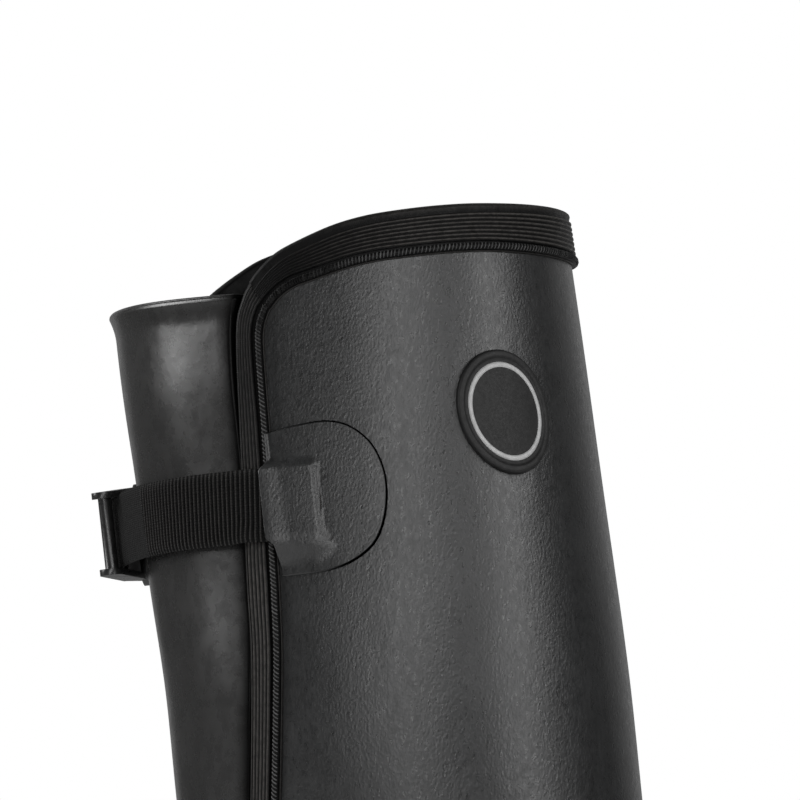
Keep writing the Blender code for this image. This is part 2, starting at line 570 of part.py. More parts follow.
class BuckleFrame:
    """The buckle's own axes on the shaft: along the strap, out from the leg and up."""

    def __init__(self):
        here = leg(BUCKLE_ANGLE, BUCKLE_Z)
        self.out = leg(BUCKLE_ANGLE, BUCKLE_Z, 1.0) - here
        along = leg(BUCKLE_ANGLE + 1.0, BUCKLE_Z) - leg(BUCKLE_ANGLE - 1.0, BUCKLE_Z)
        self.along = along - self.out * along.dot(self.out)
        self.along /= np.linalg.norm(self.along)
        self.up = np.cross(self.out, self.along)
        self.up *= math.copysign(1.0, self.up[2])
        self.up += (0.0, 0.0, BUCKLE_UPRIGHT)
        self.up -= self.along * self.up.dot(self.along)
        self.up /= np.linalg.norm(self.up)
        across = np.cross(self.along, self.up)
        self.out = across * math.copysign(1.0, across.dot(self.out))
        turn = math.atan(BUCKLE_DIP)
        self.along, self.up = (
            self.along * math.cos(turn) - self.up * math.sin(turn),
            self.up * math.cos(turn) + self.along * math.sin(turn),
        )
        self.origin = here + self.out * BUCKLE_OUT

    def at(self, along, out, up):
        """A point in the part's frame from the buckle's own coordinates."""
        return self.origin + self.along * along + self.out * out + self.up * up


def block(frame, along, out, up):
    """A box in the buckle's frame as points and faces, from three spans."""
    points = [frame.at(a, o, u) for a in along for o in out for u in up]
    return points, BOX_FACES


def rail_reach(along):
    """How far from the buckle's middle a rail's outer face lies: the rails close in towards the near end."""
    return float(np.interp(along, (RAIL_FAR, RAIL_NEAR), (BUCKLE_HALF_WIDE, BUCKLE_HALF_NEAR)))


def rail(frame, side):
    """A side rail of the plug as points and faces."""
    points = []
    for along in (RAIL_FAR, RAIL_NEAR):
        reach = rail_reach(along)
        for out in (-RAIL_DEEP / 2.0, RAIL_DEEP / 2.0):
            points += [frame.at(along, out, side * up) for up in (reach - RAIL_THICK, reach)]
    return points, BOX_FACES


def bar(frame, along, out, radius, sides=12):
    """A round bar from rail to rail as points and faces."""
    reach = rail_reach(along) - RAIL_THICK + BAR_SINK
    turns = [2.0 * math.pi * i / sides for i in range(sides)]
    circle = [(along + radius * math.cos(t), out + radius * math.sin(t)) for t in turns]
    points = [frame.at(a, o, u) for u in (-reach, reach) for a, o in circle]
    faces = rings([turns, turns]) + [tuple(range(sides)), tuple(range(2 * sides - 1, sides - 1, -1))]
    return points, faces


def prong(frame, side):
    """One spring arm of the plug, bowed out through the socket's window."""
    stations = np.linspace(SHOULDER_FAR + PRONG_SINK, PRONG_END, PRONG_STEPS)
    bowed = np.clip((WINDOW_NEAR - stations) / (WINDOW_NEAR - PRONG_END), 0.0, 1.0)
    middle = SOCKET_HALF_WIDE - PRONG_THICK - PRONG_CLEAR + PRONG_BULGE * np.sin(math.pi * bowed) ** 2
    points = []
    for a, m in zip(stations, middle):
        for o, u in ((-1, -1), (1, -1), (1, 1), (-1, 1)):
            points.append(frame.at(a, o * PRONG_DEEP / 2.0, side * (m + u * PRONG_THICK / 2.0)))
    last = len(points) - 1
    faces = rings([[0] * 4] * len(stations)) + [(0, 1, 2, 3), (last, last - 1, last - 2, last - 3)]
    return points, faces


def joined(name, shapes, surface, cut=()):
    """Overlapping closed shapes united into one solid, less the shapes to cut away."""
    made = solid(name, *shapes[0], surface)
    for i, shape in enumerate(list(shapes[1:]) + list(cut)):
        tool = solid(f"{name}_tool_{i}", *shape, surface)
        tool.hide_render = True
        tool.display_type = "WIRE"
        step = made.modifiers.new(f"step_{i}", "BOOLEAN")
        step.object = tool
        step.operation = "UNION" if i < len(shapes) - 1 else "DIFFERENCE"
        step.solver = "EXACT"
    return made


def buckle():
    """The plug, with its rails, bars and spring arms, and the socket that it clicks into."""
    frame = BuckleFrame()
    wide = BUCKLE_HALF_WIDE
    rails = [rail(frame, side) for side in (-1, 1)]
    near_bar = bar(frame, NEAR_BAR_AT, NEAR_BAR_OUT, NEAR_BAR_RADIUS)
    web_bar = bar(frame, WEB_BAR_AT, WEB_BAR_OUT, WEB_BAR_RADIUS)
    shoulder_deep = SHOULDER_DEEP / 2.0
    shoulder_wide = wide - SHOULDER_INSET
    shoulder = block(frame, (SHOULDER_FAR, SHOULDER_NEAR), (-shoulder_deep, shoulder_deep),
                     (-shoulder_wide, shoulder_wide))
    prongs = [prong(frame, side) for side in (-1, 1)]
    plug = joined("buckle_plug", [shoulder, *rails, near_bar, web_bar, *prongs], "buckle_plastic")
    deep = SOCKET_DEEP / 2.0
    shell = block(frame, (SOCKET_FAR, SOCKET_NEAR), (-deep, deep), (-SOCKET_HALF_WIDE, SOCKET_HALF_WIDE))
    hollow = deep - SOCKET_WALL
    across = SOCKET_HALF_WIDE - SOCKET_WALL
    cavity = block(frame, (CAVITY_FAR, CAVITY_NEAR), (-hollow, hollow), (-across, across))
    through_sides = SOCKET_HALF_WIDE + CUT_THROUGH
    window = block(frame, (WINDOW_FAR, WINDOW_NEAR), (-hollow, hollow), (-through_sides, through_sides))
    through_faces = deep + CUT_THROUGH
    slot_wide = across - SLOT_INSET
    slot = block(frame, (SLOT_FAR, SLOT_NEAR), (-through_faces, through_faces), (-slot_wide, slot_wide))
    socket = joined("buckle_socket", [shell], "buckle_plastic", cut=(cavity, window, slot))
    return plug, socket


def strap_on_leg(lift):
    """The two faces of a strap that follows the leg, each as its lower and its upper edge."""
    table = np.array(lift)
    angles = np.union1d(np.arange(table[0, 0], table[-1, 0], STRAP_STEP), table[:, 0])[::-1]
    height = np.interp(angles, *table.T)
    edges = [strap_z(angles) + half for half in (-STRAP_WIDE / 2.0, STRAP_WIDE / 2.0)]
    return [np.stack([leg(angles, z, height + off) for z in edges]) for off in (STRAP_THICK, 0.0)]


def strap_in_buckle(frame, line):
    """The two faces of a strap along a line of places in the buckle: along, then out."""
    line = np.array(line)
    run = np.gradient(line, axis=0)
    run /= np.linalg.norm(run, axis=1, keepdims=True)
    aside = np.stack([run[:, 1], -run[:, 0]], axis=-1) * STRAP_THICK / 2.0
    half = STRAP_WIDE / 2.0
    faces = []
    for places in (line + aside, line - aside):
        faces.append(np.array([[frame.at(a, o, up) for a, o in places] for up in (-half, half)]))
    return faces


def straps():
    """The front strap, wound on the plug's bar, and the rear strap, held in the socket's slot."""
    frame = BuckleFrame()
    round_bar = WEB_BAR_RADIUS + FIT_GAP + STRAP_THICK / 2.0
    under_bar = NEAR_BAR_OUT - NEAR_BAR_RADIUS - FIT_GAP - STRAP_THICK
    turns = np.radians(np.linspace(WRAP_FROM, WRAP_TO, WRAP_STEPS))
    wound = [(NEAR_BAR_AT, under_bar)]
    wound += [(WEB_BAR_AT + round_bar * math.cos(t), WEB_BAR_OUT + round_bar * math.sin(t)) for t in turns]
    front = [np.hstack(pair) for pair in zip(strap_on_leg(FRONT_STRAP_LIFT), strap_in_buckle(frame, wound))]
    held = strap_in_buckle(frame, REAR_STRAP_IN_SLOT)
    rear = [np.hstack(pair) for pair in zip(held, strap_on_leg(REAR_STRAP_LIFT))]
    return sheet("strap_front", *front, "webbing"), sheet("strap_rear", *rear, "webbing")


def badge():
    """A plain oval badge that lies on the panel, with a raised rim."""
    turns = np.linspace(0.0, 2.0 * math.pi, BADGE_STEPS, endpoint=False)

    def oval(share, height):
        angles = BADGE_ANGLE + share * BADGE_HALF_WIDE * np.sin(turns) / DEGREE_MM
        return leg(angles, BADGE_Z - share * BADGE_HALF_HIGH * np.cos(turns), height)

    rows = [oval(share, FIT_GAP) for share in (BADGE_PROFILE[-1][0], 1.0)]
    rows += [oval(share, height) for share, height in BADGE_PROFILE]
    return capped_rings("badge", rows, "badge_rubber")


def outline(off):
    """The feather line's outline, moved level outwards."""
    angles = column_angles()
    ring = skin(angles, 0.0)
    run = np.roll(ring, -1, axis=0) - np.roll(ring, 1, axis=0)
    aside = np.stack([run[:, 1], -run[:, 0]], axis=-1)
    aside /= np.linalg.norm(aside, axis=1, keepdims=True)
    ring[:, :2] += aside * off
    return ring


def tread_cutters():
    """The gap under the arch and the tread's grooves as one object of separate prisms."""
    points, faces = [], []

    def prism(profile):
        start = len(points)
        size = len(profile[0])
        for side in profile:
            points.extend(side)
        faces.extend(tuple(start + i for i in face) for face in rings(profile))
        faces.append(tuple(start + i for i in range(size)))
        faces.append(tuple(start + (len(profile) - 1) * size + i for i in reversed(range(size))))

    prism([[(x, y, z) for x, z in ARCH_PROFILE] for y in (-SOLE_REACH, SOLE_REACH)])
    for at in (*HEEL_GROOVES, *FOREFOOT_GROOVES):
        deep = tread(at) + GROOVE_DEEP
        sweep = GROOVE_SWEEP if at > ARCH_PROFILE[-1][0] else 0.0
        profile = []
        for y in (-SOLE_REACH, 0.0, SOLE_REACH):
            back = at - sweep * abs(y) / SOLE_REACH
            front = back + GROOVE_WIDE
            profile.append([(back, y, CUT_FROM_Z), (front, y, CUT_FROM_Z), (front - GROOVE_TAPER, y, deep),
                            (back + GROOVE_TAPER, y, deep)])
        prism(profile)
    return points, faces


def outsole():
    """The sole: a lip round the upper's foot, ribbed sides, raised heel, arch gap and cut tread."""
    angles = column_angles()
    floor_ring = skin_off(angles, 0.0, FIT_GAP)
    floor_ring[:, 2] = sole_top(floor_ring[:, 0])
    rows = [floor_ring]
    rows += [skin_off(angles, row, FIT_GAP) for row in SOLE_LIP_ROWS]
    rows += [skin_off(angles, row, SOLE_LIP_THICK) for row in SOLE_LIP_ROWS[::-1]]
    for off, share in SOLE_SIDE:
        ring = outline(off)
        top, low = sole_top(ring[:, 0]), tread(ring[:, 0])
        ring[:, 2] = top + (low - top) * share
        rows.append(ring)
    sole = capped_rings("outsole", rows, "sole_rubber")
    cutter = solid("outsole_cutter", *tread_cutters(), "sole_rubber")
    cutter.hide_render = True
    cutter.display_type = "WIRE"
    cut = sole.modifiers.new("tread", "BOOLEAN")
    cut.object = cutter
    cut.operation = "DIFFERENCE"
    cut.solver = "EXACT"
    return sole


def insole():
    """The loose insole on the sole's upper face."""
    rows = []
    for height in (FIT_GAP, FIT_GAP + INSOLE_THICK):
        ring = outline(-WALL - INSOLE_CLEAR)
        ring[:, 2] = sole_top(ring[:, 0]) + height
        rows.append(ring)
    return capped_rings("insole", rows, "insole_foam")


def main():
    for old in list(bpy.data.objects):
        bpy.data.objects.remove(old)
    outsole()
    insole()
    upper()
    gusset()
    binding()
    patch("patch_front", FRONT_PATCH_ANGLE, FRONT_STRAP_LIFT, over=CLEAR_OF_BINDING, facing=1)
    patch("patch_rear", REAR_PATCH_ANGLE, REAR_STRAP_LIFT, over=FIT_GAP, facing=-1)
    straps()
    buckle()
    badge()


main()
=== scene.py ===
"""The looks of a right-foot wellington boot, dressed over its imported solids.

Sizes are in millimetres and angles in degrees. +X points to the toe, +Y to the inner side and +Z up.
An angle round the leg is 0 on the outer side, 90 at the front, 180 on the inner side and -90 at the back.
"""

import math

import bmesh
import bpy
import numpy as np
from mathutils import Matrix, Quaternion, Vector


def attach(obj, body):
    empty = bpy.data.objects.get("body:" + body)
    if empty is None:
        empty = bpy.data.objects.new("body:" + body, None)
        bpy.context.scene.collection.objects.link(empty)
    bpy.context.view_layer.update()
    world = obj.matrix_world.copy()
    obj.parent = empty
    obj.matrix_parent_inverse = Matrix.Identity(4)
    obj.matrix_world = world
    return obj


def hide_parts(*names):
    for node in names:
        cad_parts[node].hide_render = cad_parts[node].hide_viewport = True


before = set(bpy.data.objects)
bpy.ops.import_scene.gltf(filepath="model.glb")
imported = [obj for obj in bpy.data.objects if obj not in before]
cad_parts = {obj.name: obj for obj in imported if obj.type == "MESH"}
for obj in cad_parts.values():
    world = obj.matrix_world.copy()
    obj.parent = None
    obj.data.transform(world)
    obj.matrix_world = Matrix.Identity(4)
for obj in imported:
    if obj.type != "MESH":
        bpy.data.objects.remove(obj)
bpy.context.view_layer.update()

MM = 0.001
HAIR = 1e-6
SOFT_SAMPLES = 9
# Once round the leg, as angle and height
FULL_TURN = (360.0, 0.0)

# The upper's surface, as in the solids: a row for each section from the feather line to above the collar
WALL = 4.0
FIT_GAP = 0.3
HEEL_TOP, BALL_TOP, TOE_TOP = 27.0, 14.0, 23.0
HEEL_FLAT_END, BALL_START, BALL_END = 15.0, 140.0, 175.0
SOLE_FRONT_X = 255.0
TREAD_SPRING_START, TREAD_SPRING_RISE = 188.0, 11.0
HEEL_AT, WAIST_AT, BALL_AT = 0.12, 0.40, 0.66
SECTION_COLUMNS = (
    "back_x", "back_z", "front_x", "front_z", "follow", "heel", "waist", "ball", "arch", "toe_in", "blunt",
)
SECTIONS = np.array((
    (-40.0, HEEL_TOP + FIT_GAP, SOLE_FRONT_X, TOE_TOP + FIT_GAP, 1.0, 42.5, 37.5, 50.0, 5.0, 9.0, 0.74),
    (-41.5, 39.0, 259.0, 36.0, 0.9, 44.0, 40.0, 51.5, 5.0, 9.0, 0.74),
    (-41.5, 50.0, 255.5, 49.5, 0.6, 45.0, 42.5, 51.5, 4.0, 9.0, 0.77),
    (-40.0, 60.0, 243.0, 60.0, 0.3, 45.5, 44.0, 50.0, 3.0, 8.5, 0.81),
    (-37.5, 70.0, 215.0, 69.5, 0.1, 45.5, 45.0, 48.0, 2.0, 7.0, 0.86),
    (-34.5, 81.0, 181.0, 81.0, 0.0, 45.5, 45.0, 46.0, 1.0, 4.0, 0.91),
    (-31.5, 94.0, 155.0, 97.0, 0.0, 45.5, 45.5, 45.0, 0.0, 2.0, 0.95),
    (-29.3, 111.0, 138.0, 118.0, 0.0, 46.0, 46.0, 45.0, 0.0, 0.5, 0.98),
    (-28.3, 132.0, 126.8, 140.0, 0.0, 47.5, 47.5, 46.5, 0.0, 0.0, 1.0),
    (-28.5, 156.0, 120.2, 164.0, 0.0, 50.5, 50.0, 49.0, 0.0, 0.0, 1.0),
    (-31.0, 190.0, 114.8, 198.0, 0.0, 55.0, 53.5, 52.5, 0.0, 0.0, 1.0),
    (-36.5, 240.0, 108.8, 248.0, 0.0, 60.0, 58.5, 57.0, 0.0, 0.0, 1.0),
    (-45.0, 297.0, 100.3, 305.0, 0.0, 63.0, 61.0, 59.0, 0.0, 0.0, 1.0),
    (-52.5, 345.0, 93.4, 352.0, 0.0, 64.5, 62.3, 60.0, 0.0, 0.0, 1.0),
    (-61.0, 400.0, 85.0, 406.0, 0.0, 65.5, 63.3, 61.0, 0.0, 0.0, 1.0),
))
SHAFT_FROM_ROW = 7
LOWER_TOP_ROW = 8.0

# The notch for the gusset and the collar's line, as angle and height
NOTCH_BACK_ANGLE, NOTCH_FRONT_ANGLE = -67.5, -37.5
NOTCH_CORNER_Z, NOTCH_FLOOR_Z = 153.0, 144.0
FRONT_CORNER, REAR_CORNER = (-2.0, 357.0), (-112.5, 358.5)
FRONT_EDGE = (
    (NOTCH_FRONT_ANGLE, NOTCH_CORNER_Z), (-29.0, 170.0), (-23.7, 190.0), (-14.9, 245.0), (-12.2, 272.0),
    (-8.4, 312.0), (-5.2, 346.0), FRONT_CORNER,
)
REAR_EDGE = (
    (NOTCH_BACK_ANGLE, NOTCH_CORNER_Z), (-75.5, 170.0), (-80.5, 190.0), (-90.5, 245.0), (-99.0, 300.0),
    (-105.0, 335.0), (-109.0, 350.0), REAR_CORNER,
)
RIM = (
    FRONT_CORNER,
    (1.2, 362.3), (5.0, 366.8), (9.0, 370.0), (19.5, 375.6), (28.0, 378.7), (36.5, 380.6), (48.5, 382.6),
    (62.0, 384.1), (90.0, 386.0), (140.0, 388.0), (180.0, 388.8), (207.0, 387.5), (221.0, 383.0),
    (230.0, 377.0), (239.0, 369.5), (244.5, 363.5),
    (REAR_CORNER[0] + 360.0, REAR_CORNER[1]),
)
LEG_RADIUS = 66.0
DEGREE_MM = math.radians(1.0) * LEG_RADIUS
END_CROWDING = 0.08

# How finely the upper is meshed: columns round the leg, rows up it and rows up to the notch's floor
SKIN_COLUMNS, SKIN_LOWER_ROWS, SKIN_PANEL_ROWS = 192, 60, 64
LINING_COLUMNS, LINING_LOWER_ROWS, LINING_PANEL_ROWS = 96, 34, 34
CLOSING_ROWS = 5

# Soft creases of the ankle: angle and height of the middle, tilt in mm a degree, half length in degrees,
# half width and depth, then the low shoulders beside them
CREASES = (
    (84.0, 131.0, 0.05, 62.0, 5.0, 0.9),
    (96.0, 113.0, -0.04, 54.0, 4.5, 0.8),
    (92.0, 150.0, 0.03, 44.0, 5.0, 0.5),
    (-92.0, 108.0, 0.04, 44.0, 4.0, 0.45),
    (182.0, 122.0, 0.10, 34.0, 5.0, 0.4),
)
CREASE_RISE, CREASE_RISE_AT, CREASE_RISE_SHARP = 0.45, 1.9, 1.3

# Binding: its width along the collar by angle and beside the notch by height, then the roll over the edge,
# the ribs, the groove and the stitched bead
BINDING_NARROW, BINDING_WIDE = 8.0, 15.6
COLLAR_WIDTHS = (
    (-2.0, BINDING_NARROW), (2.5, 9.3), (9.0, 11.0), (19.0, 12.1), (32.0, 12.9), (60.0, 13.4), (90.0, 14.8),
    (115.0, BINDING_WIDE), (200.0, BINDING_WIDE), (225.0, 13.0), (238.0, 10.5), (247.5, BINDING_NARROW),
)
NOTCH_WIDTHS = (
    (144.0, 9.4), (245.0, 9.7), (272.0, 10.1), (320.0, 8.9), (346.0, 7.8), (357.0, BINDING_NARROW),
)
WIDTH_SOFT = 4.0
TAPE_TOP, TAPE_OVER, TAPE_INSIDE, TAPE_FOLD = 1.6, 1.5, 0.9, 4.5
FOLD_LAP, FOLD_EDGE, FOLD_EDGE_IN = 0.1, 0.2, 0.4
TAPE_ROLL_ROWS, TAPE_ROLL_CREST = 13, 0.2
BEAD_IN, BEAD_HALF_NARROW, BEAD_HALF_WIDE, BEAD_RISE = 1.55, 0.85, 1.05, 0.8
BEAD_ROWS, BEAD_SUNK, BEAD_LAP, BEAD_FOOT_DOWN = 11, 0.35, 0.1, 0.2
BEAD_FAR_LAP, BEAD_FAR_Z = 0.05, 0.3
# The binding's edge beyond the bead: how far in from it, height and how far its crest is painted pale as a
# highlight
BINDING_EDGE = ((0.42, BEAD_FAR_Z, 0.0), (0.32, 0.75, 0.8), (0.08, 0.65, 0.8), (0.0, -0.2, 0.0))
GROOVE_NARROW, GROOVE_WIDE, GROOVE_Z, GROOVE_WALL = 1.4, 0.5, 0.4, 0.12
COLLAR_RIBS, COLLAR_RIB_RISE, COLLAR_RIBS_FROM = 7, 0.75, 1.6
NOTCH_RIBS, NOTCH_RIB_RISE, NOTCH_RIBS_FROM = 5, 0.45, 0.0
RIB_POINTS, RIB_SHARP, RIB_SUNK, RIB_LEAST, RIBS_END_DOWN = 7, 2.4, 0.7, 0.3, 0.3
LINE_SAMPLES, LINE_STEP, LINE_SOFTENINGS = 600, 1.1, 3
COLLAR_CUT_AT, COLLAR_CUT_SLANT, COLLAR_CUT_FADE = 4.2, 0.62, 6.0
COLLAR_CUT_OVER, COLLAR_CUT_DOWN = 0.5, 0.6
NOTCH_TUCK = 3.5
STITCH_PITCH, STITCH_SLANT, STITCH_RADIUS, STITCH_SIDES = 1.2, -0.5, 0.24, 6
STITCH_SEED, STITCH_UNEVEN, STITCH_FATNESS = 7, 0.07, (0.75, 1.12)
# A stitch's place across the bead from -1 to 1, then its share of the full radius there
STITCH_TAPER = ((-0.98, 0.35), (-0.8, 0.9), (-0.35, 1.0), (0.35, 1.0), (0.8, 0.9), (0.98, 0.35))
STITCH_BOW, STITCH_OUT = 0.92, 0.04
# Distance along the edge from the collar's front corner, then how much painted shade darkens the thread
# there
STITCH_SHADE = (
    (-40.0, 0.0), (-12.0, 0.45), (0.0, 0.9), (22.0, 0.95), (45.0, 0.15), (85.0, 0.15), (120.0, 0.55),
)
STITCH_SHADE_UNEVEN = (-0.1, 0.3)
# The ribs' crests are painted pale as a highlight: height beside the notch and distance along the collar,
# then by how much
NOTCH_HIGHLIGHT = ((265.0, 1.0), (330.0, 0.3))
COLLAR_HIGHLIGHT = ((15.0, 0.05), (60.0, 1.0))
TAPE_PRESSED, TAPE_PRESSED_HALF = 0.35, 18.0

# Gusset
GUSSET_THICK, GUSSET_TUCK, TUCK_GAP, GUSSET_TOP_Z = 1.8, 5.0, 0.5, 357.0
GUSSET_RISE_FROM, GUSSET_RISE_OVER = 5.9, 1.9
# Painted shade on the gusset where it tucks in beside the notch's tape: full up to this many millimetres in
# from its edges, fading over the next
GUSSET_SHADED_FROM, GUSSET_SHADED_OVER = 6.4, 7.0
# The strap draws the gusset in: how far, how high above and below it, and the angles over which this begins
GUSSET_DRAWN_IN, GUSSET_DRAWN_ABOVE, GUSSET_DRAWN_BELOW = 2.6, 42.0, 130.0
GUSSET_DRAWN_FROM, GUSSET_DRAWN_OVER = -64.0, 24.0
GUSSET_LIP, GUSSET_LIP_DEEP, GUSSET_LIP_BEND = 1.4, 7.0, 1.8
# A faint ripple: how high, then degrees of its waves for each degree round the leg and each millimetre up it
RIPPLE, RIPPLE_ROUND, RIPPLE_LEAN, RIPPLE_UP = 0.35, 5.0, 1.7, 4.1
GUSSET_COLUMNS, GUSSET_ROWS, GUSSET_ROLL_ROWS = 110, 120, 7
GUSSET_SIDE_CROWDING, GUSSET_END_CROWDING = 0.125, 0.06

# Straps and patches
STRAP_Z, STRAP_FALL, STRAP_ABOVE, STRAP_BELOW, STRAP_THICK = 295.0, 0.04, 11.0, 10.6, 1.5
STRAP_HELD_HALF, STRAP_STATIONS, STRAP_CURVE_STEPS = 10.5, 90, 6
# Angle, then how high the strap's underside lies off the leg there
FRONT_STRAP_LIFT = (
    (-62.0, 4.6), (-57.0, 3.2), (-51.0, 2.2), (-43.0, 1.4), (-20.0, 1.2), (-15.0, 1.8), (-3.0, 1.8),
    (0.0, 1.15), (9.0, 0.35),
)
REAR_STRAP_LIFT = ((-122.0, 0.4), (-117.0, 0.4), (-113.0, 1.2), (-109.5, 3.4), (-106.5, 5.5))
LIFT_SOFT = 2.4
WRAP_FROM, WRAP_TO, WRAP_STEPS = 20.0, 200.0, 9
REAR_STRAP_IN_SLOT = ((-21.6, 2.0), (-21.6, -2.0), (-21.7, -4.7), (-23.6, -5.9))
WEB_RIB_PITCH, WEB_RIB_RISE, WEB_RIB_POINTS, WEB_ACROSS = 1.65, 0.7, 9, 17
WEB_PLAIN_FROM, WEB_PLAIN_OVER, WEB_PLAIN_RIB = -48.5, 3.0, 0.12
WEB_RIB_LEAN, WEB_RIB_SHARP = -0.14, 2.2
# Towards its two long edges the webbing's ribs fall and it grows thinner: by how much and how late
SELVEDGE_FALL, SELVEDGE_FALL_LATE, SELVEDGE_THIN, SELVEDGE_THIN_LATE = 0.6, 10, 0.45, 8
ROLL_ANGLE, ROLL_HALF, ROLL_UP, ROLL_OUT, ROLL_BELOW = -9.6, 6.0, 0.3, 0.8, 0.35
PRESSED_BY, PRESSED_FROM, PRESSED_OVER = 0.5, -5.0, 6.0
# A patch's outline from its cut edge's foot round to its top, in millimetres forwards and up from its middle
PATCH_OUTLINE = (
    (-9.3, -23.2), (-3.5, -22.7), (4.0, -21.8), (11.1, -19.1), (17.5, -14.0), (21.3, -6.6), (23.1, 2.0),
    (22.8, 9.2), (20.4, 15.8), (15.4, 20.7), (9.1, 22.3), (0.8, 21.1), (-7.8, 19.0),
)
PATCH_ABOVE_STRAP, PATCH_THICK, PATCH_SUNK, PATCH_STEPS = 2.0, 1.2, 0.25, 96
PATCH_FOOT_SHARE, PATCH_TOP_SHARE = 0.38, 0.64
PATCH_MOUTH_OUT, PATCH_MOUTH_HALF, PATCH_MOUTH_SOFT = 2.0, 9.5, 3.0
FRONT_PATCH_ANGLE, REAR_PATCH_ANGLE = 4.6, -121.5
POCKET_LENGTH, POCKET_CLEAR = 14.0, 0.2
POCKET_TOP_SOFT, POCKET_LOW_SOFT, POCKET_END_SOFT = 2.7, 8.5, 1.4
POCKET_TOP_ROUND, POCKET_LOW_ROUND = 3.0, 3.5
PATCH_OVER_BINDING, PATCH_DOWN_BY, CLEAR_OF_BINDING = 0.1, 0.9, 1.6
PATCH_OVER_ABOVE, PATCH_OVER_SOFT = -14.0, 8.0
PATCH_ROUND, PATCH_SHADOW_LINE, PATCH_CROWDING = 0.5, 0.35, 0.11
# Towards its cut edge the painted shadow line round a patch's outline pales, and its lower corner is pared
# thin
PATCH_SHADOW_LEFT, PATCH_LINE_FROM, PATCH_LINE_OVER, PATCH_CUT_SHADOW = 0.35, -6.0, 16.0, 0.35
PATCH_PARED, PATCH_PARED_BELOW, PATCH_PARED_SOFT = 0.7, -10.0, 8.0

# Buckle, in its own frame of along, out and up
BUCKLE_ANGLE, BUCKLE_Z, BUCKLE_OUT, BUCKLE_UPRIGHT, BUCKLE_DIP = -83.0, 292.6, 7.0, 0.5, 0.06
BUCKLE_HALF_WIDE, BUCKLE_HALF_NEAR = 14.4, 12.8
RAIL_THICK, RAIL_DEEP, RAIL_NEAR, RAIL_FAR, RAIL_ROUND_STEPS = 2.0, 7.0, 25.7, 2.0, 13
NEAR_BAR_AT, NEAR_BAR_RADIUS, NEAR_BAR_OUT = 20.5, 2.1, 0.2
WEB_BAR_AT, WEB_BAR_RADIUS, WEB_BAR_OUT = 12.5, 1.7, -0.3
BAR_SINK, BAR_SIDES = 0.5, 28
SHOULDER_NEAR, SHOULDER_FAR, SHOULDER_DEEP, SHOULDER_INSET = 5.0, -1.5, 7.0, 0.4
PRONG_DEEP, PRONG_THICK, PRONG_END, PRONG_BULGE = 3.4, 3.0, -16.0, 4.6
PRONG_SINK, PRONG_CLEAR, PRONG_STEPS = 1.0, 1.2, 25
SOCKET_NEAR, SOCKET_FAR, SOCKET_DEEP, SOCKET_WALL = -2.0, -26.0, 8.6, 1.9
WINDOW_NEAR, WINDOW_FAR, SOCKET_HALF_WIDE = -6.5, -17.2, 14.2
CAVITY_NEAR, CAVITY_FAR = 0.0, -18.2
SLOT_NEAR, SLOT_FAR, SLOT_INSET, CUT_THROUGH = -20.2, -23.0, 0.6, 4.0
BUCKLE_BEVEL, BEVEL_SEGMENTS, BEVEL_FROM_ANGLE, BUCKLE_SHARP = 0.55, 3, 38.0, 35.0

# Badge: a plain oval with a raised rim and an inlaid line
BADGE_ANGLE, BADGE_Z, BADGE_HALF_WIDE, BADGE_HALF_HIGH = 57.8, 322.5, 15.5, 18.5
BADGE_STEPS = 96
# The line it presses into the skin round itself: how deep, how far off and how soft
DENT_DEEP, DENT_OFF, DENT_SOFT = 0.3, 0.6, 0.05
# Share of the oval's size, then height off the skin
BADGE_PROFILE = (
    (1.0, 0.05), (0.995, 1.0), (0.985, 1.5), (0.965, 1.85), (0.94, 1.9), (0.90, 1.9), (0.875, 1.8),
    (0.862, 1.45), (0.85, 1.3), (0.80, 1.28), (0.60, 1.36), (0.40, 1.44), (0.20, 1.48), (0.02, 1.5),
)
BADGE_LINE = ((0.795, 1.2), (0.785, 1.5), (0.765, 1.62), (0.735, 1.62), (0.715, 1.5), (0.705, 1.2))

# Outsole and insole
SOLE_COLUMNS = 240
SOLE_LIP_ROWS, SOLE_LIP_THICK = (0.2, 0.35, 0.55, 0.66, 0.7), 2.4
SOLE_LIP_ROUND_ROWS, SOLE_LIP_ROUND = 5, 0.03
# Share of the way down the sole's side, then how far it stands out
SOLE_SIDE = (
    (0.0, 2.6), (0.03, 3.4), (0.14, 3.4), (0.2, 2.3), (0.3, 2.3), (0.36, 3.4), (0.52, 3.4), (0.58, 2.3),
    (0.68, 2.3), (0.74, 3.4), (0.9, 3.3), (0.97, 2.8), (1.0, 2.2),
)
SOLE_SIDE_ROWS, SOLE_SIDE_SOFT, SOLE_SIDE_SAMPLES = 60, 0.012, 5
GROOVE_ACROSS, GROOVE_DEEP, GROOVE_TAPER, GROOVE_SWEEP = 4.6, 4.2, 0.6, 20.0
SOLE_REACH, CUT_FROM_Z = 80.0, -3.0
ARCH_PROFILE = ((29.0, CUT_FROM_Z), (33.0, 9.0), (45.0, 11.5), (70.0, 10.0), (88.0, 5.0), (96.0, CUT_FROM_Z))
FOREFOOT_GROOVES = (108.0, 124.0, 140.0, 156.0, 172.0, 189.0, 207.0, 225.0)
HEEL_GROOVES = (-25.0, -9.0, 8.0)
INSOLE_CLEAR = 1.2
# The footbed's edge and top: how far out, then height over its underside
INSOLE_PROFILE = ((0.0, 0.0), (0.0, 2.4), (-0.5, 3.5), (-1.5, 4.0), (-4.0, 3.95), (-9.0, 3.65))

# Camera and stage; the floor's radius and the camera's clip distances are in metres
CAMERA_AZIMUTH, CAMERA_AWAY, CAMERA_Z, CAMERA_LENS = 25.0, 1300.0, 200.0, 192.26
CAMERA_AIM = (37.5, 0.0, 331.0)
CAMERA_SENSOR, CAMERA_CLIP_NEAR, CAMERA_CLIP_FAR = 36.0, 0.05, 50.0
LIGHT_AIM = (20.0, 0.0, 290.0)
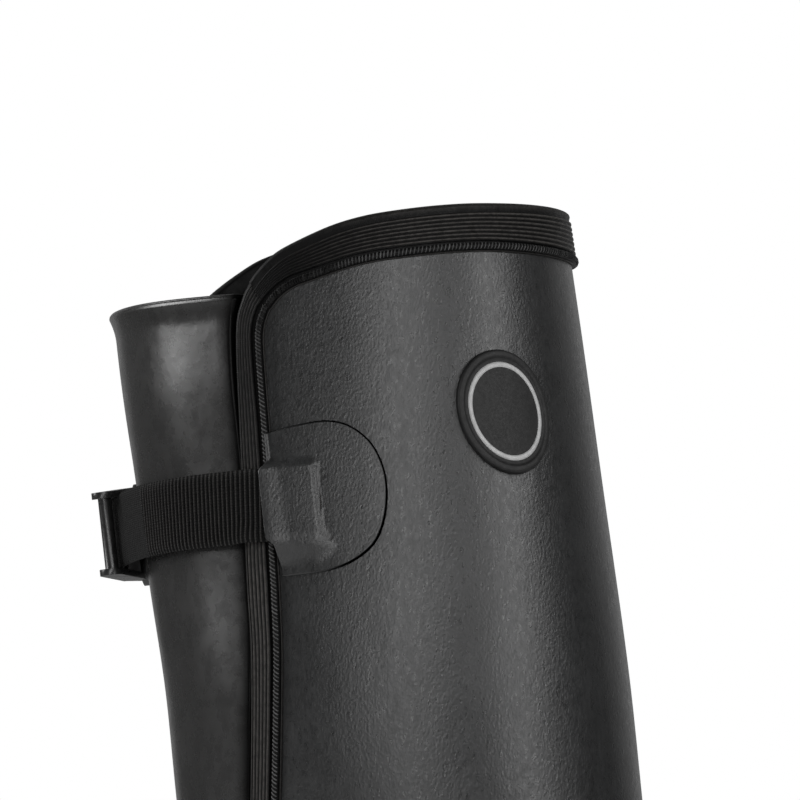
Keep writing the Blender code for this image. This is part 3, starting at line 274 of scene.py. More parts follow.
# Soft boxes: azimuth in the camera's sense, distance, height, width and length in metres, power, and lean
LIGHTS = {
    "box_left": (-66.0, 1.0, 0.75, 0.46, 0.9, 11.4, -20.0),
    "box_front": (26.5, 0.6, 0.41, 0.13, 0.85, 1.95, 44.0),
    "box_right": (71.5, 0.6, 0.42, 0.11, 0.75, 1.75, 42.0),
    "box_back": (205.0, 1.5, 0.9, 2.2, 1.8, 3.0, 0.0),
    "box_inner": (160.0, 1.5, 0.6, 1.2, 1.4, 1.5, 0.0),
}
FLOOR_RADIUS, FLOOR_SIDES, FLOOR_GLOW = 0.8, 96, 0.15
WHITE = (1.0, 1.0, 1.0, 1.0)
SURROUND_LIGHT = 0.10


def ease(share):
    """0 below 0 and 1 above 1, with a smooth step between."""
    t = np.clip(share, 0.0, 1.0)
    return t * t * (3.0 - 2.0 * t)


def hump(share):
    """1 at 0, falling smoothly to 0 at 1 either way."""
    return 1.0 - ease(np.abs(share))


def between(low, high, share):
    """The value a share of the way from low to high."""
    return low + (high - low) * share


def crowded(share, by):
    """Even shares drawn towards both ends."""
    return share - np.sin(2.0 * math.pi * share) * by


def look_up(table, at):
    """A short table's second column at values of its first."""
    return np.interp(at, *np.array(table).T)


def look_up_soft(table, at, soft, samples=SOFT_SAMPLES):
    """The same, averaged over soft either way, which rounds the table's corners."""
    return np.mean([look_up(table, at + span) for span in np.linspace(-soft, soft, samples)], axis=0)


def unit(vectors):
    """Vectors brought to a length of 1."""
    return vectors / np.linalg.norm(vectors, axis=-1, keepdims=True)


def sole_top(x):
    """Height of the sole's upper face."""
    drop = ease((BALL_START - x) / (BALL_START - HEEL_FLAT_END))
    spring = np.clip((x - BALL_END) / (SOLE_FRONT_X - BALL_END), 0.0, None)
    return BALL_TOP + (HEEL_TOP - BALL_TOP) * drop + (TOE_TOP - BALL_TOP) * spring**2


def tread(x):
    """Height of the tread before it is cut."""
    spring = np.clip((x - TREAD_SPRING_START) / (SOLE_FRONT_X - TREAD_SPRING_START), 0.0, None)
    return TREAD_SPRING_RISE * spring**2


def section(row):
    """The columns of SECTIONS at a row that may lie between two."""
    row = np.clip(np.asarray(row, float), 0.0, len(SECTIONS) - 1.0)
    low = np.minimum(row.astype(int), len(SECTIONS) - 2)
    t = (row - low)[..., None]
    before, start = SECTIONS[np.maximum(low - 1, 0)], SECTIONS[low]
    end, after = SECTIONS[low + 1], SECTIONS[np.minimum(low + 2, len(SECTIONS) - 1)]
    slope_in, slope_out = (end - before) / 2.0, (after - start) / 2.0
    found = start + t * slope_in + t**2 * (3 * (end - start) - 2 * slope_in - slope_out)
    found = found + t**3 * (2 * (start - end) + slope_in + slope_out)
    return {name: found[..., i] for i, name in enumerate(SECTION_COLUMNS)}


def skin(angle, row):
    """Points of the upper's outer surface at an angle and a row of SECTIONS."""
    s = section(row)
    theta = np.radians(angle)
    along = (1.0 + np.sin(theta)) / 2.0
    x = between(s["back_x"], s["front_x"], along)
    inner = np.cos(theta) < 0.0
    waist = s["waist"] - np.where(inner, s["arch"], 0.0)
    to_waist = ease((along - HEEL_AT) / (WAIST_AT - HEEL_AT))
    to_ball = ease((along - WAIST_AT) / (BALL_AT - WAIST_AT))
    half = s["heel"] + (waist - s["heel"]) * to_waist + (s["ball"] - waist) * to_ball
    across = np.sign(np.cos(theta)) * np.abs(np.cos(theta)) ** s["blunt"]
    y = -half * across + s["toe_in"] * ease((along - WAIST_AT) / (1.0 - WAIST_AT))
    chord = between(sole_top(s["back_x"]), sole_top(s["front_x"]), along)
    z = between(s["back_z"], s["front_z"], along) + s["follow"] * (sole_top(x) - chord)
    return np.stack([x, y, z], axis=-1)


def skin_off(angle, row, off):
    """Points at a distance off the upper's outer surface, outwards."""
    angle, row, off = np.broadcast_arrays(*(np.asarray(v, float) for v in (angle, row, off)))
    step_angle, step_row = 0.05, 0.002
    round_leg = skin(angle + step_angle, row) - skin(angle - step_angle, row)
    up_leg = skin(angle, row + step_row) - skin(angle, row - step_row)
    return skin(angle, row) + unit(np.cross(round_leg, up_leg)) * off[..., None]


def row_at(angle, z):
    """The row of SECTIONS where the shaft has this height at this angle."""
    angle, z = np.broadcast_arrays(np.asarray(angle, float), np.asarray(z, float))
    low = np.full(z.shape, float(SHAFT_FROM_ROW))
    high = np.full(z.shape, len(SECTIONS) - 1.0)
    halvings = 26
    for _ in range(halvings):
        middle = (low + high) / 2.0
        below = skin(angle, middle)[..., 2] < z
        low, high = np.where(below, middle, low), np.where(below, high, middle)
    return (low + high) / 2.0


def leg(angle, z, off=0.0):
    """Points off the shaft at an angle and a height."""
    return skin_off(angle, row_at(angle, z), off)


def degree_mm(angle, z):
    """How many millimetres of the shaft's surface one degree takes up there."""
    return np.linalg.norm(leg(angle + 0.5, z) - leg(angle - 0.5, z), axis=-1)


def curve(points, steps=24):
    """A smooth line through a few points, with that many steps between two."""
    table = np.array(points, float)
    table = np.vstack([2 * table[0] - table[1], table, 2 * table[-1] - table[-2]])
    fine = []
    for a, b, c, d in zip(table, table[1:], table[2:], table[3:]):
        for t in np.linspace(0.0, 1.0, steps, endpoint=False):
            bend = (2 * a - 5 * b + 4 * c - d) * t**2 + (3 * b - a - 3 * c + d) * t**3
            fine.append(b + ((c - a) * t + bend) / 2.0)
    return np.array(fine + [table[-2]])


def stations(line, gone, wanted):
    """Points of a line at wanted distances, where gone is how far along it each of its points is."""
    return np.stack([np.interp(wanted, gone, column) for column in line.T], axis=-1)


def through(points, shares):
    """Points of angle and height at shares of the length of a smooth line through a short table."""
    fine = curve(points)
    gone = lengths(fine * (DEGREE_MM, 1.0))
    return stations(fine, gone, np.asarray(shares) * gone[-1])


def lengths(line):
    """How far along a line each of its points is."""
    return np.concatenate([[0.0], np.cumsum(np.linalg.norm(np.diff(line, axis=0), axis=1))])


def filled(near, far, foot, top, crowding=0.0):
    """A grid between four edges: near and far run up, foot and top run from near to far."""
    v = crowded(np.linspace(0.0, 1.0, len(near)), crowding)[:, None, None]
    u = crowded(np.linspace(0.0, 1.0, len(foot)), crowding)[None, :, None]
    across = near[:, None] * (1 - u) + far[:, None] * u
    upwards = foot[None] * (1 - v) + top[None] * v
    corners = (near[0] * (1 - u) + far[0] * u) * (1 - v) + (near[-1] * (1 - u) + far[-1] * u) * v
    return across + upwards - corners


def column_angles(columns):
    """The angles of a grid's columns, from the back round the outer side."""
    return -90.0 + 360.0 * np.arange(columns) / columns


def notch_floor(angle):
    """Height of the notch's rounded bottom between its two corners."""
    middle = (NOTCH_BACK_ANGLE + NOTCH_FRONT_ANGLE) / 2.0
    share = (angle - middle) / (NOTCH_FRONT_ANGLE - NOTCH_BACK_ANGLE) * 2.0
    return between(NOTCH_FLOOR_Z, NOTCH_CORNER_Z, share**2)


def panel_edges(columns, rows):
    """The shaft panel's front edge, rear edge, foot and rim, each as angle and height."""
    up = crowded(np.linspace(0.0, 1.0, rows + 1), END_CROWDING)
    near, far = through(FRONT_EDGE, up), through(REAR_EDGE, up) + FULL_TURN
    count = round(columns * (1.0 - (NOTCH_FRONT_ANGLE - NOTCH_BACK_ANGLE) / 360.0))
    turned = np.linspace(near[0, 0], far[0, 0], count + 1)
    foot = np.stack([turned, np.full(count + 1, NOTCH_CORNER_Z)], axis=-1)
    return near, far, foot, through(RIM, np.linspace(0.0, 1.0, count + 1))


def quads(rows, count, closed=True):
    """Quads between rows of points; a closed row joins its end to its start."""
    faces = []
    for k in range(rows - 1):
        for i in range(count if closed else count - 1):
            j = (i + 1) % count
            faces.append((k * count + i, k * count + j, (k + 1) * count + j, (k + 1) * count + i))
    return faces


def tube(rows, count):
    """Quads between closed rows of points, with one face across either end."""
    last = rows * count - 1
    return quads(rows, count) + [tuple(range(count)), tuple(range(last, last - count, -1))]


def cap(start, count):
    """Faces across a closed row whose points pair off over its length."""
    faces = [(start, start + 1, start + count - 1)]
    for i in range(1, count // 2 - 1):
        faces.append((start + i, start + i + 1, start + count - i - 1, start + count - i))
    faces.append((start + count // 2 - 1, start + count // 2, start + count // 2 + 1))
    return faces


def capped(rows, count):
    """Quads between closed rows of points, with both ends filled across."""
    return quads(rows, count) + cap(0, count) + cap((rows - 1) * count, count)


def new_mesh(name, points, faces):
    """A mesh from points in millimetres, with its faces turned outwards."""
    mesh = bpy.data.meshes.new(name)
    mesh.from_pydata((np.asarray(points) * MM).tolist(), [], faces)
    shaped = bmesh.new()
    shaped.from_mesh(mesh)
    bmesh.ops.recalc_face_normals(shaped, faces=shaped.faces)
    shaped.to_mesh(mesh)
    shaped.free()
    return mesh


def placed(name, data):
    """A new object in the scene."""
    made = bpy.data.objects.new(name, data)
    bpy.context.scene.collection.objects.link(made)
    return made


def dress(obj, finish, stands_for):
    """Gives a piece its finish and the body it rides on, and hides the solids that it stands for."""
    obj.data.materials.clear()
    obj.data.materials.append(finish.material)
    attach(obj, "root")
    if stands_for:
        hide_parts(*stands_for)


def piece(name, points, faces, finish, stands_for=(), sharp=None, marks=None):
    """One shown mesh from points in millimetres; marks are numbers for each point that its finish reads."""
    mesh = new_mesh(name, points, faces)
    mesh.shade_smooth()
    if sharp is not None:
        mesh.set_sharp_from_angle(angle=math.radians(sharp))
    for mark, values in (marks or {}).items():
        layer = mesh.attributes.new(mark, "FLOAT", "POINT")
        layer.data.foreach_set("value", np.asarray(values, np.float32).ravel())
    made = placed(name, mesh)
    dress(made, finish, stands_for)
    return made


class Finish:
    """A Principled material, with short calls that add patterns to it."""

    def __init__(self, name, colour, rough, sockets=None):
        self.material = bpy.data.materials.new(name)
        self.material.use_nodes = True
        self.nodes = self.material.node_tree.nodes
        self.links = self.material.node_tree.links
        self.shader = self.nodes["Principled BSDF"]
        self.place = self.nodes.new("ShaderNodeTexCoord").outputs["Object"]
        self.normal = None
        self.shader.inputs["Base Color"].default_value = (*colour, 1.0)
        self.shader.inputs["Roughness"].default_value = rough
        for socket, value in (sockets or {}).items():
            self.shader.inputs[socket].default_value = value

    def sized(self, size, stretch):
        """The place in units of a pattern's size in millimetres, longer upwards by stretch."""
        made = self.nodes.new("ShaderNodeMapping")
        scale = 1.0 / (size * MM)
        made.inputs["Scale"].default_value = (scale, scale, scale / stretch)
        self.links.new(self.place, made.inputs["Vector"])
        return made.outputs["Vector"]

    def noise(self, size, stretch=1.0, detail=2.0, rough=0.5):
        """A cloudy pattern."""
        made = self.nodes.new("ShaderNodeTexNoise")
        made.inputs["Scale"].default_value = 1.0
        made.inputs["Detail"].default_value = detail
        made.inputs["Roughness"].default_value = rough
        self.links.new(self.sized(size, stretch), made.inputs["Vector"])
        return made.outputs["Fac"]

    def cells(self, size, stretch=1.0):
        """A pattern of pebbles."""
        made = self.nodes.new("ShaderNodeTexVoronoi")
        made.inputs["Scale"].default_value = 1.0
        self.links.new(self.sized(size, stretch), made.inputs["Vector"])
        return made.outputs["Distance"]

    def mark(self, name):
        """A number that the mesh carries at each point."""
        made = self.nodes.new("ShaderNodeAttribute")
        made.attribute_name = name
        return made.outputs["Fac"]

    def maths(self, operation, *values):
        """Arithmetic on sockets and numbers."""
        made = self.nodes.new("ShaderNodeMath")
        made.operation = operation
        for i, value in enumerate(values):
            if isinstance(value, (int, float)):
                made.inputs[i].default_value = value
            else:
                self.links.new(value, made.inputs[i])
        return made.outputs["Value"]

    def wave(self, mark, pitch):
        """A wave from 0 to 1 along a mark in millimetres."""
        turned = self.maths("MULTIPLY", self.mark(mark), 2.0 * math.pi / pitch)
        return self.maths("MULTIPLY_ADD", self.maths("SINE", turned), 0.5, 0.5)

    def spread(self, socket, low, high, start=0.0, end=1.0):
        """A pattern from start to end, spread from low to high."""
        made = self.nodes.new("ShaderNodeMapRange")
        for i, value in enumerate((start, end, low, high), 1):
            made.inputs[i].default_value = value
        self.links.new(socket, made.inputs[0])
        return made.outputs["Result"]

    def tint(self, socket, dark, light, start=0.3, end=0.7):
        """Colours the surface between two colours by a pattern."""
        made = self.nodes.new("ShaderNodeValToRGB")
        ends = made.color_ramp.elements
        ends[0].position, ends[0].color = start, (*dark, 1.0)
        ends[1].position, ends[1].color = end, (*light, 1.0)
        self.links.new(socket, made.inputs["Fac"])
        self.links.new(made.outputs["Color"], self.shader.inputs["Base Color"])

    def paint_shade(self, mark):
        """Paints shade: turns the surface black and lowers its gloss where the mesh's mark is 1."""
        kept = self.maths("SUBTRACT", 1.0, self.mark(mark))
        colour = self.shader.inputs["Base Color"]
        made = self.nodes.new("ShaderNodeMix")
        made.data_type, made.blend_type = "RGBA", "MULTIPLY"
        made.inputs["Factor"].default_value = 1.0
        self.links.new(colour.links[0].from_socket, made.inputs["A"])
        self.links.new(kept, made.inputs["B"])
        self.links.new(made.outputs["Result"], colour)
        level = self.shader.inputs["Specular IOR Level"]
        self.links.new(self.maths("MULTIPLY", kept, level.default_value), level)

    def roughen(self, socket, low, high, start=0.3, end=0.7):
        """Varies the roughness by a pattern."""
        self.links.new(self.spread(socket, low, high, start, end), self.shader.inputs["Roughness"])

    def bump(self, socket, deep):
        """Raises the surface by a pattern, by that many millimetres."""
        made = self.nodes.new("ShaderNodeBump")
        made.inputs["Strength"].default_value = 1.0
        made.inputs["Distance"].default_value = deep * MM
        self.links.new(socket, made.inputs["Height"])
        if self.normal is not None:
            self.links.new(self.normal, made.inputs["Normal"])
        self.normal = made.outputs["Normal"]
        self.links.new(self.normal, self.shader.inputs["Normal"])


def grey(value, warm=0.0):
    """A near-neutral colour, a little warmer or cooler."""
    return (value * (1.0 + warm), value, value * (1.0 - warm))


def make_finishes():
    """Every finish of the boot by name.

    A noise is given by its size in millimetres, how much longer it is upwards, its detail and its roughness;
    cells by their size and how much longer they are upwards.
    """
    made = {}

    for name in ("skin", "patch"):
        grained = Finish(f"grained_{name}", grey(0.018), 0.36, {"Specular IOR Level": 0.5})
        grained.tint(grained.noise(7.0, 2.0, 5.0, 0.65), grey(0.009, -0.02), grey(0.016, -0.02))
        grained.roughen(grained.noise(1.1, 2.4, 4.0, 0.65), 0.24, 0.42)
        grained.bump(grained.noise(16.0, 1.4), 0.12)
        grained.bump(grained.cells(0.9, 1.4), 0.045)
        grained.bump(grained.noise(0.6, 1.5, 3.0, 0.6), 0.085)
        made[name] = grained
    # The patch's rim mark paints a dark shadow line round its edge and on its underside
    made["patch"].paint_shade("rim")

    gusset = Finish("smooth_rubber", grey(0.024), 0.26, {"Specular IOR Level": 0.5})
    gusset.tint(gusset.noise(12.0, 1.3, 3.0), grey(0.013, 0.02), grey(0.018, 0.01))
    gusset.roughen(gusset.noise(5.0, 1.2, 4.0, 0.6), 0.23, 0.32)
    gusset.bump(gusset.noise(16.0, 1.3), 0.2)
    gusset.bump(gusset.noise(3.6, 1.0, 3.0), 0.05)
    gusset.bump(gusset.noise(0.5), 0.012)
    # The gusset is painted darker with shade where it tucks in beside the tape
    gusset.paint_shade("shaded")
    made["gusset"] = gusset

    # Each tape's own colour, then the paler colour painted on its crests as a highlight, in patches
    tapes = {"collar_tape": (0.0008, 0.042), "notch_tape": (0.002, 0.045), "bead_tape": (0.0015, 0.016)}
    for name, (low, high) in tapes.items():
        tape = Finish(name, grey(low), 0.6, {"Sheen Weight": 0.01, "Specular IOR Level": 0.12})
        patchy = tape.spread(tape.noise(1.4, 1.0, 3.0), 0.6, 1.3, 0.3, 0.7)
        painted_highlight = tape.maths("MULTIPLY", tape.mark("crest"), patchy)
        tape.tint(painted_highlight, grey(low, 0.03), grey(high, 0.06), 0.1, 1.0)
        tape.roughen(tape.noise(2.0), 0.40, 0.58)
        tape.bump(tape.wave("along", 0.55), 0.035)
        tape.bump(tape.noise(0.35), 0.05)
        made[name] = tape

    thread = Finish("thread", grey(0.06), 0.5, {"Sheen Weight": 0.1, "Specular IOR Level": 0.4})
    thread.tint(thread.noise(0.9), grey(0.03), grey(0.065))
    thread.bump(thread.noise(0.22, 1.0, 1.0), 0.03)
    # The thread is painted darker with shade near the collar's front corner
    thread.paint_shade("thread_shade")
    made["thread"] = thread

    webbing = Finish("webbing", grey(0.006), 0.7, {"Sheen Weight": 0.02, "Specular IOR Level": 0.12})
    woven = webbing.spread(webbing.wave("across", 0.9), 0.75, 1.0)
    ribbed = webbing.maths("MULTIPLY", webbing.mark("ridge"), woven)
    webbing.tint(ribbed, grey(0.0003), grey(0.028, 0.05), 0.35, 1.0)
    webbing.roughen(webbing.noise(0.8), 0.55, 0.8)
    webbing.bump(webbing.wave("across", 0.62), 0.09)
    webbing.bump(webbing.noise(0.3), 0.07)
    made["webbing"] = webbing

    coated = {"Specular IOR Level": 0.5, "Coat Weight": 0.15, "Coat Roughness": 0.2}
    plastic = Finish("moulded_plastic", grey(0.009), 0.3, coated)
    plastic.tint(plastic.noise(3.0, 1.0, 3.0), grey(0.007), grey(0.012))
    plastic.roughen(plastic.noise(1.6, 1.0, 4.0, 0.65), 0.24, 0.40)
    plastic.bump(plastic.noise(0.5, 1.0, 3.0), 0.012)
    made["plastic"] = plastic

    plate = Finish("badge_rubber", grey(0.009), 0.55, {"Specular IOR Level": 0.25})
    plate.tint(plate.noise(2.5, 1.0, 3.0), grey(0.007), grey(0.012))
    plate.roughen(plate.noise(0.8, 1.0, 3.0), 0.45, 0.62)
    plate.bump(plate.noise(0.4, 1.0, 3.0), 0.03)
    made["badge"] = plate

    badge_line = Finish("badge_line", grey(0.33), 0.42)
    badge_line.tint(badge_line.noise(1.5, 1.0, 3.0), grey(0.28), grey(0.36))
    badge_line.bump(badge_line.noise(0.5), 0.015)
    made["badge_line"] = badge_line

    sole = Finish("sole_rubber", grey(0.016), 0.58, {"Specular IOR Level": 0.4})
    sole.tint(sole.noise(6.0, 1.0, 4.0, 0.6), grey(0.013), grey(0.021, 0.03))
    sole.roughen(sole.noise(2.5, 1.0, 4.0, 0.6), 0.48, 0.7)
    sole.bump(sole.cells(0.7), 0.05)
    sole.bump(sole.noise(0.4, 1.0, 3.0), 0.05)
    made["sole"] = sole

    lining = Finish("jersey_lining", grey(0.02, 0.1), 0.85, {"Sheen Weight": 0.25, "Sheen Roughness": 0.5})
    lining.tint(lining.noise(1.1, 1.8, 3.0), grey(0.014, 0.1), grey(0.028, 0.1))
    lining.bump(lining.cells(0.7, 1.8), 0.12)
    lining.bump(lining.noise(0.3, 1.5), 0.06)
    made["lining"] = lining

    footbed = Finish("footbed_cloth", grey(0.03), 0.9, {"Sheen Weight": 0.2, "Sheen Roughness": 0.5})
    footbed.tint(footbed.noise(0.9, 1.0, 3.0), grey(0.018), grey(0.045))
    footbed.bump(footbed.cells(0.9), 0.15)
    made["footbed"] = footbed
    return made


def relief(angle, z):
    """Soft creases of the upper's skin and the badge's dent in it, outwards, in millimetres."""
    out = np.zeros(np.broadcast(angle, z).shape)
    for at, height, tilt, half_length, half_wide, deep in CREASES:
        turned = (angle - at + 180.0) % 360.0 - 180.0
        away = (z - height - tilt * turned) / half_wide
        shoulders = np.exp(-((np.abs(away) - CREASE_RISE_AT) ** 2) * CREASE_RISE_SHARP)
        out -= deep * hump(turned / half_length) * (np.exp(-(away**2)) - CREASE_RISE * shoulders)
    across = (angle - BADGE_ANGLE) * DEGREE_MM / (BADGE_HALF_WIDE + DENT_OFF)
    from_badge = np.hypot(across, (z - BADGE_Z) / (BADGE_HALF_HIGH + DENT_OFF))
    return out - DENT_DEEP * np.exp(-(((from_badge - 1.0) / DENT_SOFT) ** 2))


def upper_grid(columns, lower_rows, panel_rows, off, with_relief):
    """Points and faces of one face of the upper: closed rows below the notch, then the shaft's panel."""
    angles = column_angles(columns)
    near, far, foot, rim = panel_edges(columns, panel_rows)
    panel = filled(near, far, foot, rim)[1:]
    back = round((NOTCH_BACK_ANGLE + 90.0) / 360.0 * columns)
    front = round((NOTCH_FRONT_ANGLE + 90.0) / 360.0 * columns)
    base_z = np.full(columns, NOTCH_CORNER_Z)
    base_z[back:front + 1] = notch_floor(angles[back:front + 1])

    def moved(angle, z):
        return off + (relief(angle, z) if with_relief else 0.0)

    rows = []
    for row in np.linspace(0.0, LOWER_TOP_ROW, lower_rows):
        rows.append(skin_off(angles, row, moved(angles, skin(angles, row)[:, 2])))
    last_z = skin(angles, LOWER_TOP_ROW)[:, 2]
    for share in np.arange(1, CLOSING_ROWS + 1) / CLOSING_ROWS:
        z = between(last_z, base_z, share)
        rows.append(leg(angles, z, moved(angles, z)))
    closed = len(rows)
    base = (closed - 1) * columns
    width = panel.shape[1]
    points = np.vstack(rows + [leg(r[:, 0], r[:, 1], moved(r[:, 0], r[:, 1])) for r in panel])
    faces = quads(closed, columns)
    ids = [[base + (front + i) % columns for i in range(width)]]
    for k in range(len(panel)):
        start = base + columns + k * width
        ids.append(list(range(start, start + width)))
    for low, high in zip(ids, ids[1:]):
        faces += [(low[i], low[i + 1], high[i + 1], high[i]) for i in range(width - 1)]
    return points, faces


class EdgeLine:
    """The panel's whole edge as a closed line on the shaft, by the distance along it."""

    def __init__(self):
        share = np.linspace(0.0, 1.0, LINE_SAMPLES)
        near, rim, far = through(FRONT_EDGE, share), through(RIM, share), through(REAR_EDGE, share[::-1])
        floor_angle = between(NOTCH_BACK_ANGLE, NOTCH_FRONT_ANGLE, share)
        floor = np.stack([floor_angle, notch_floor(floor_angle)], axis=-1)
        line = np.vstack([near, rim[1:], far[1:] + FULL_TURN, floor[1:] + FULL_TURN])
        scale = degree_mm(line[:, 0], line[:, 1])
        steps = np.diff(line, axis=0)
        steps[:, 0] *= (scale[1:] + scale[:-1]) / 2.0
        gone = np.concatenate([[0.0], np.cumsum(np.linalg.norm(steps, axis=1))])
        self.total = gone[-1]
        self.front = gone[len(near) - 1]
        self.rear = gone[len(near) + len(rim) - 2]
        count = round(self.total / LINE_STEP)
        self.at = np.linspace(0.0, self.total, count + 1)
        angle, z = stations(line, gone, self.at).T
        for _ in range(LINE_SOFTENINGS):
            angle, z = self.softened(angle, 360.0), self.softened(z, 0.0)
        scale = degree_mm(angle, z)
        run = unit(np.stack([self.slope(angle, 360.0) * scale, self.slope(z, 0.0)], axis=-1))
        self.columns = np.column_stack([angle, z, scale, run])

    @staticmethod
    def wrapped(values, turn):
        """A closed column with one value more at either end."""
        return np.concatenate([[values[-2] - turn], values, [values[1] + turn]])

    def softened(self, values, turn):
        """A closed column averaged with its neighbours."""
        padded = self.wrapped(values, turn)
        return (padded[:-2] + 2.0 * padded[1:-1] + padded[2:]) / 4.0

    def slope(self, values, turn):
        """A closed column's change from one neighbour to the other."""
        padded = self.wrapped(values, turn)
        return padded[2:] - padded[:-2]

    def beside(self, at, reach, height):
        """Points at distances along the line, in from it by reach and off the skin by height."""
        at, reach, height = np.broadcast_arrays(*(np.asarray(v, float) for v in (at, reach, height)))
        turns = np.floor(at / self.total)
        found = stations(self.columns, self.at, at - turns * self.total)
        angle, z, scale, run_angle, run_z = np.moveaxis(found, -1, 0)
        place, level = angle + run_z * reach / scale, z - run_angle * reach
        kept = 1.0 - TAPE_PRESSED * hump((level - STRAP_Z) / TAPE_PRESSED_HALF)
        return leg(place, level, np.where(height > 0.0, height * kept, height))

    def height(self, at):
        """Height of the line itself at distances along it."""
        return np.interp(np.asarray(at) % self.total, self.at, self.columns[:, 1])

    def width_share(self, at):
        """0 where the binding is narrow and 1 where it is wide."""
        at = np.asarray(at) % self.total
        angle = np.interp(at, self.at, self.columns[:, 0])
        on_collar = look_up_soft(COLLAR_WIDTHS, angle, WIDTH_SOFT)
        in_notch = look_up(NOTCH_WIDTHS, self.height(at))
        width = np.where((at > self.front) & (at < self.rear), on_collar, in_notch)
        return (width - BINDING_NARROW) / (BINDING_WIDE - BINDING_NARROW)


def binding_measures(share):
    """Width of the binding, half-width of its bead and width of its groove, from narrow to wide."""
    width = between(BINDING_NARROW, BINDING_WIDE, share)
    bead = between(BEAD_HALF_NARROW, BEAD_HALF_WIDE, share)
    return width, bead, between(GROOVE_NARROW, GROOVE_WIDE, share)


def strip_profile(share, ribs, ribs_from, rib_rise):
    """A ribbed strip's section from inside the collar to the groove: rows of reach, height and crest."""
    width, bead, groove = binding_measures(share)
    ribs_to = width - BEAD_IN - bead - groove
    middle, half = (TAPE_TOP - WALL - TAPE_INSIDE) / 2.0, (TAPE_TOP + WALL + TAPE_INSIDE) / 2.0
    flat = np.zeros_like(share)
    fold, inside = flat + TAPE_FOLD, flat - WALL
    rows = [
        (fold, inside + FOLD_LAP, 0.0),
        (fold, inside - TAPE_INSIDE + FOLD_EDGE, 0.0),
        (fold - FOLD_EDGE_IN, inside - TAPE_INSIDE, 0.0),
    ]
    for turn in np.radians(np.linspace(-90.0, 90.0, TAPE_ROLL_ROWS)):
        up = math.sin(turn)
        # The painted highlight grows towards the top of the roll
        crest = TAPE_ROLL_CREST + TAPE_ROLL_CREST * up
        rows.append((flat - TAPE_OVER * math.cos(turn), flat + middle + half * up, crest))
    pitch = (ribs_to - ribs_from) / ribs
    rise = rib_rise * np.clip(pitch / np.max(pitch), RIB_LEAST, 1.0)
    for k in range(ribs):
        for t in np.linspace(0.0, 1.0, RIB_POINTS, endpoint=False):
            # The crest shapes the rib and says where its painted highlight goes
            crest = math.sin(math.pi * t) ** RIB_SHARP
            rows.append((ribs_from + pitch * (k + t), TAPE_TOP + rise * (crest - RIB_SUNK), crest))
    rows.append((ribs_to, flat + TAPE_TOP - RIBS_END_DOWN, 0.0))
    rows.append((ribs_to + GROOVE_WALL, flat + GROOVE_Z, 0.0))
    rows.append((ribs_to + groove, flat + GROOVE_Z, 0.0))
    return rows


def tape_piece(name, rows, along, crests, finish):
    """A piece of tape from rows of points, the distance along it and how strongly its crests are painted
    pale as a highlight.
    """
    marks = {"along": np.concatenate(along), "crest": np.concatenate(crests)}
    faces = quads(len(rows), len(rows[0]), closed=False)
    piece(name, np.vstack(rows), faces, finish, ("binding",), sharp=60.0, marks=marks)


def with_ends(values):
    """A row whose first and last value are there twice."""
    return np.concatenate([values[:1], values, values[-1:]])


def collar_tape(line, finish):
    """The ribbed tape along the collar, cut at a slant where it lies over the notch's tape."""
    start, end = line.front + COLLAR_CUT_AT, line.rear - COLLAR_CUT_AT
    at = np.linspace(start, end, round((end - start) / LINE_STEP) + 1)
    profile = strip_profile(line.width_share(at), COLLAR_RIBS, COLLAR_RIBS_FROM, COLLAR_RIB_RISE)
    near_start, near_end = np.exp((start - at) / COLLAR_CUT_FADE), np.exp((at - end) / COLLAR_CUT_FADE)
    slant = COLLAR_CUT_SLANT * (near_start - near_end)
    over = COLLAR_CUT_OVER * (near_start + near_end)
    # How strongly the ribs' crests are painted as a highlight, faint near the collar's front corner
    painted_highlight = with_ends(look_up(COLLAR_HIGHLIGHT, at - line.front))
    rows, along, crests = [], [], []
    for reach, height, crest in profile:
        place = with_ends(at - slant * np.maximum(reach, 0.0))
        raised = with_ends(height + np.where(height > 0.0, over, 0.0))
        raised[[0, -1]] = np.minimum(raised[[0, -1]], COLLAR_CUT_DOWN)
        rows.append(line.beside(place, with_ends(reach), raised))
        along.append(place)
        crests.append(crest * painted_highlight)
    tape_piece("collar_tape", rows, along, crests, finish)


def notch_tape(line, finish):
    """The ribbed tape round the notch, whose two ends run under the collar's tape."""
    start = line.rear - COLLAR_CUT_AT - NOTCH_TUCK
    end = line.total + line.front + COLLAR_CUT_AT + NOTCH_TUCK
    at = np.linspace(start, end, round((end - start) / LINE_STEP) + 1)
    profile = strip_profile(line.width_share(at), NOTCH_RIBS, NOTCH_RIBS_FROM, NOTCH_RIB_RISE)
    under = 1.0 - ease(np.minimum(at - start, end - at) / (2.0 * NOTCH_TUCK))
    # How strongly the ribs' crests are painted as a highlight, stronger low down the notch
    painted_highlight = look_up(NOTCH_HIGHLIGHT, line.height(at))
    rows, crests = [], []
    for reach, height, crest in profile:
        rows.append(line.beside(at, reach, height - np.where(height > GROOVE_Z, under, 0.0)))
        crests.append(crest * painted_highlight)
    tape_piece("notch_tape", rows, [at] * len(rows), crests, finish)


def bead_height(share_across):
    """Height of the stitched bead at a place from -1 to 1 across it."""
    return TAPE_TOP - BEAD_SUNK + BEAD_RISE * np.sqrt(np.clip(1.0 - share_across**2, 0.0, 1.0))


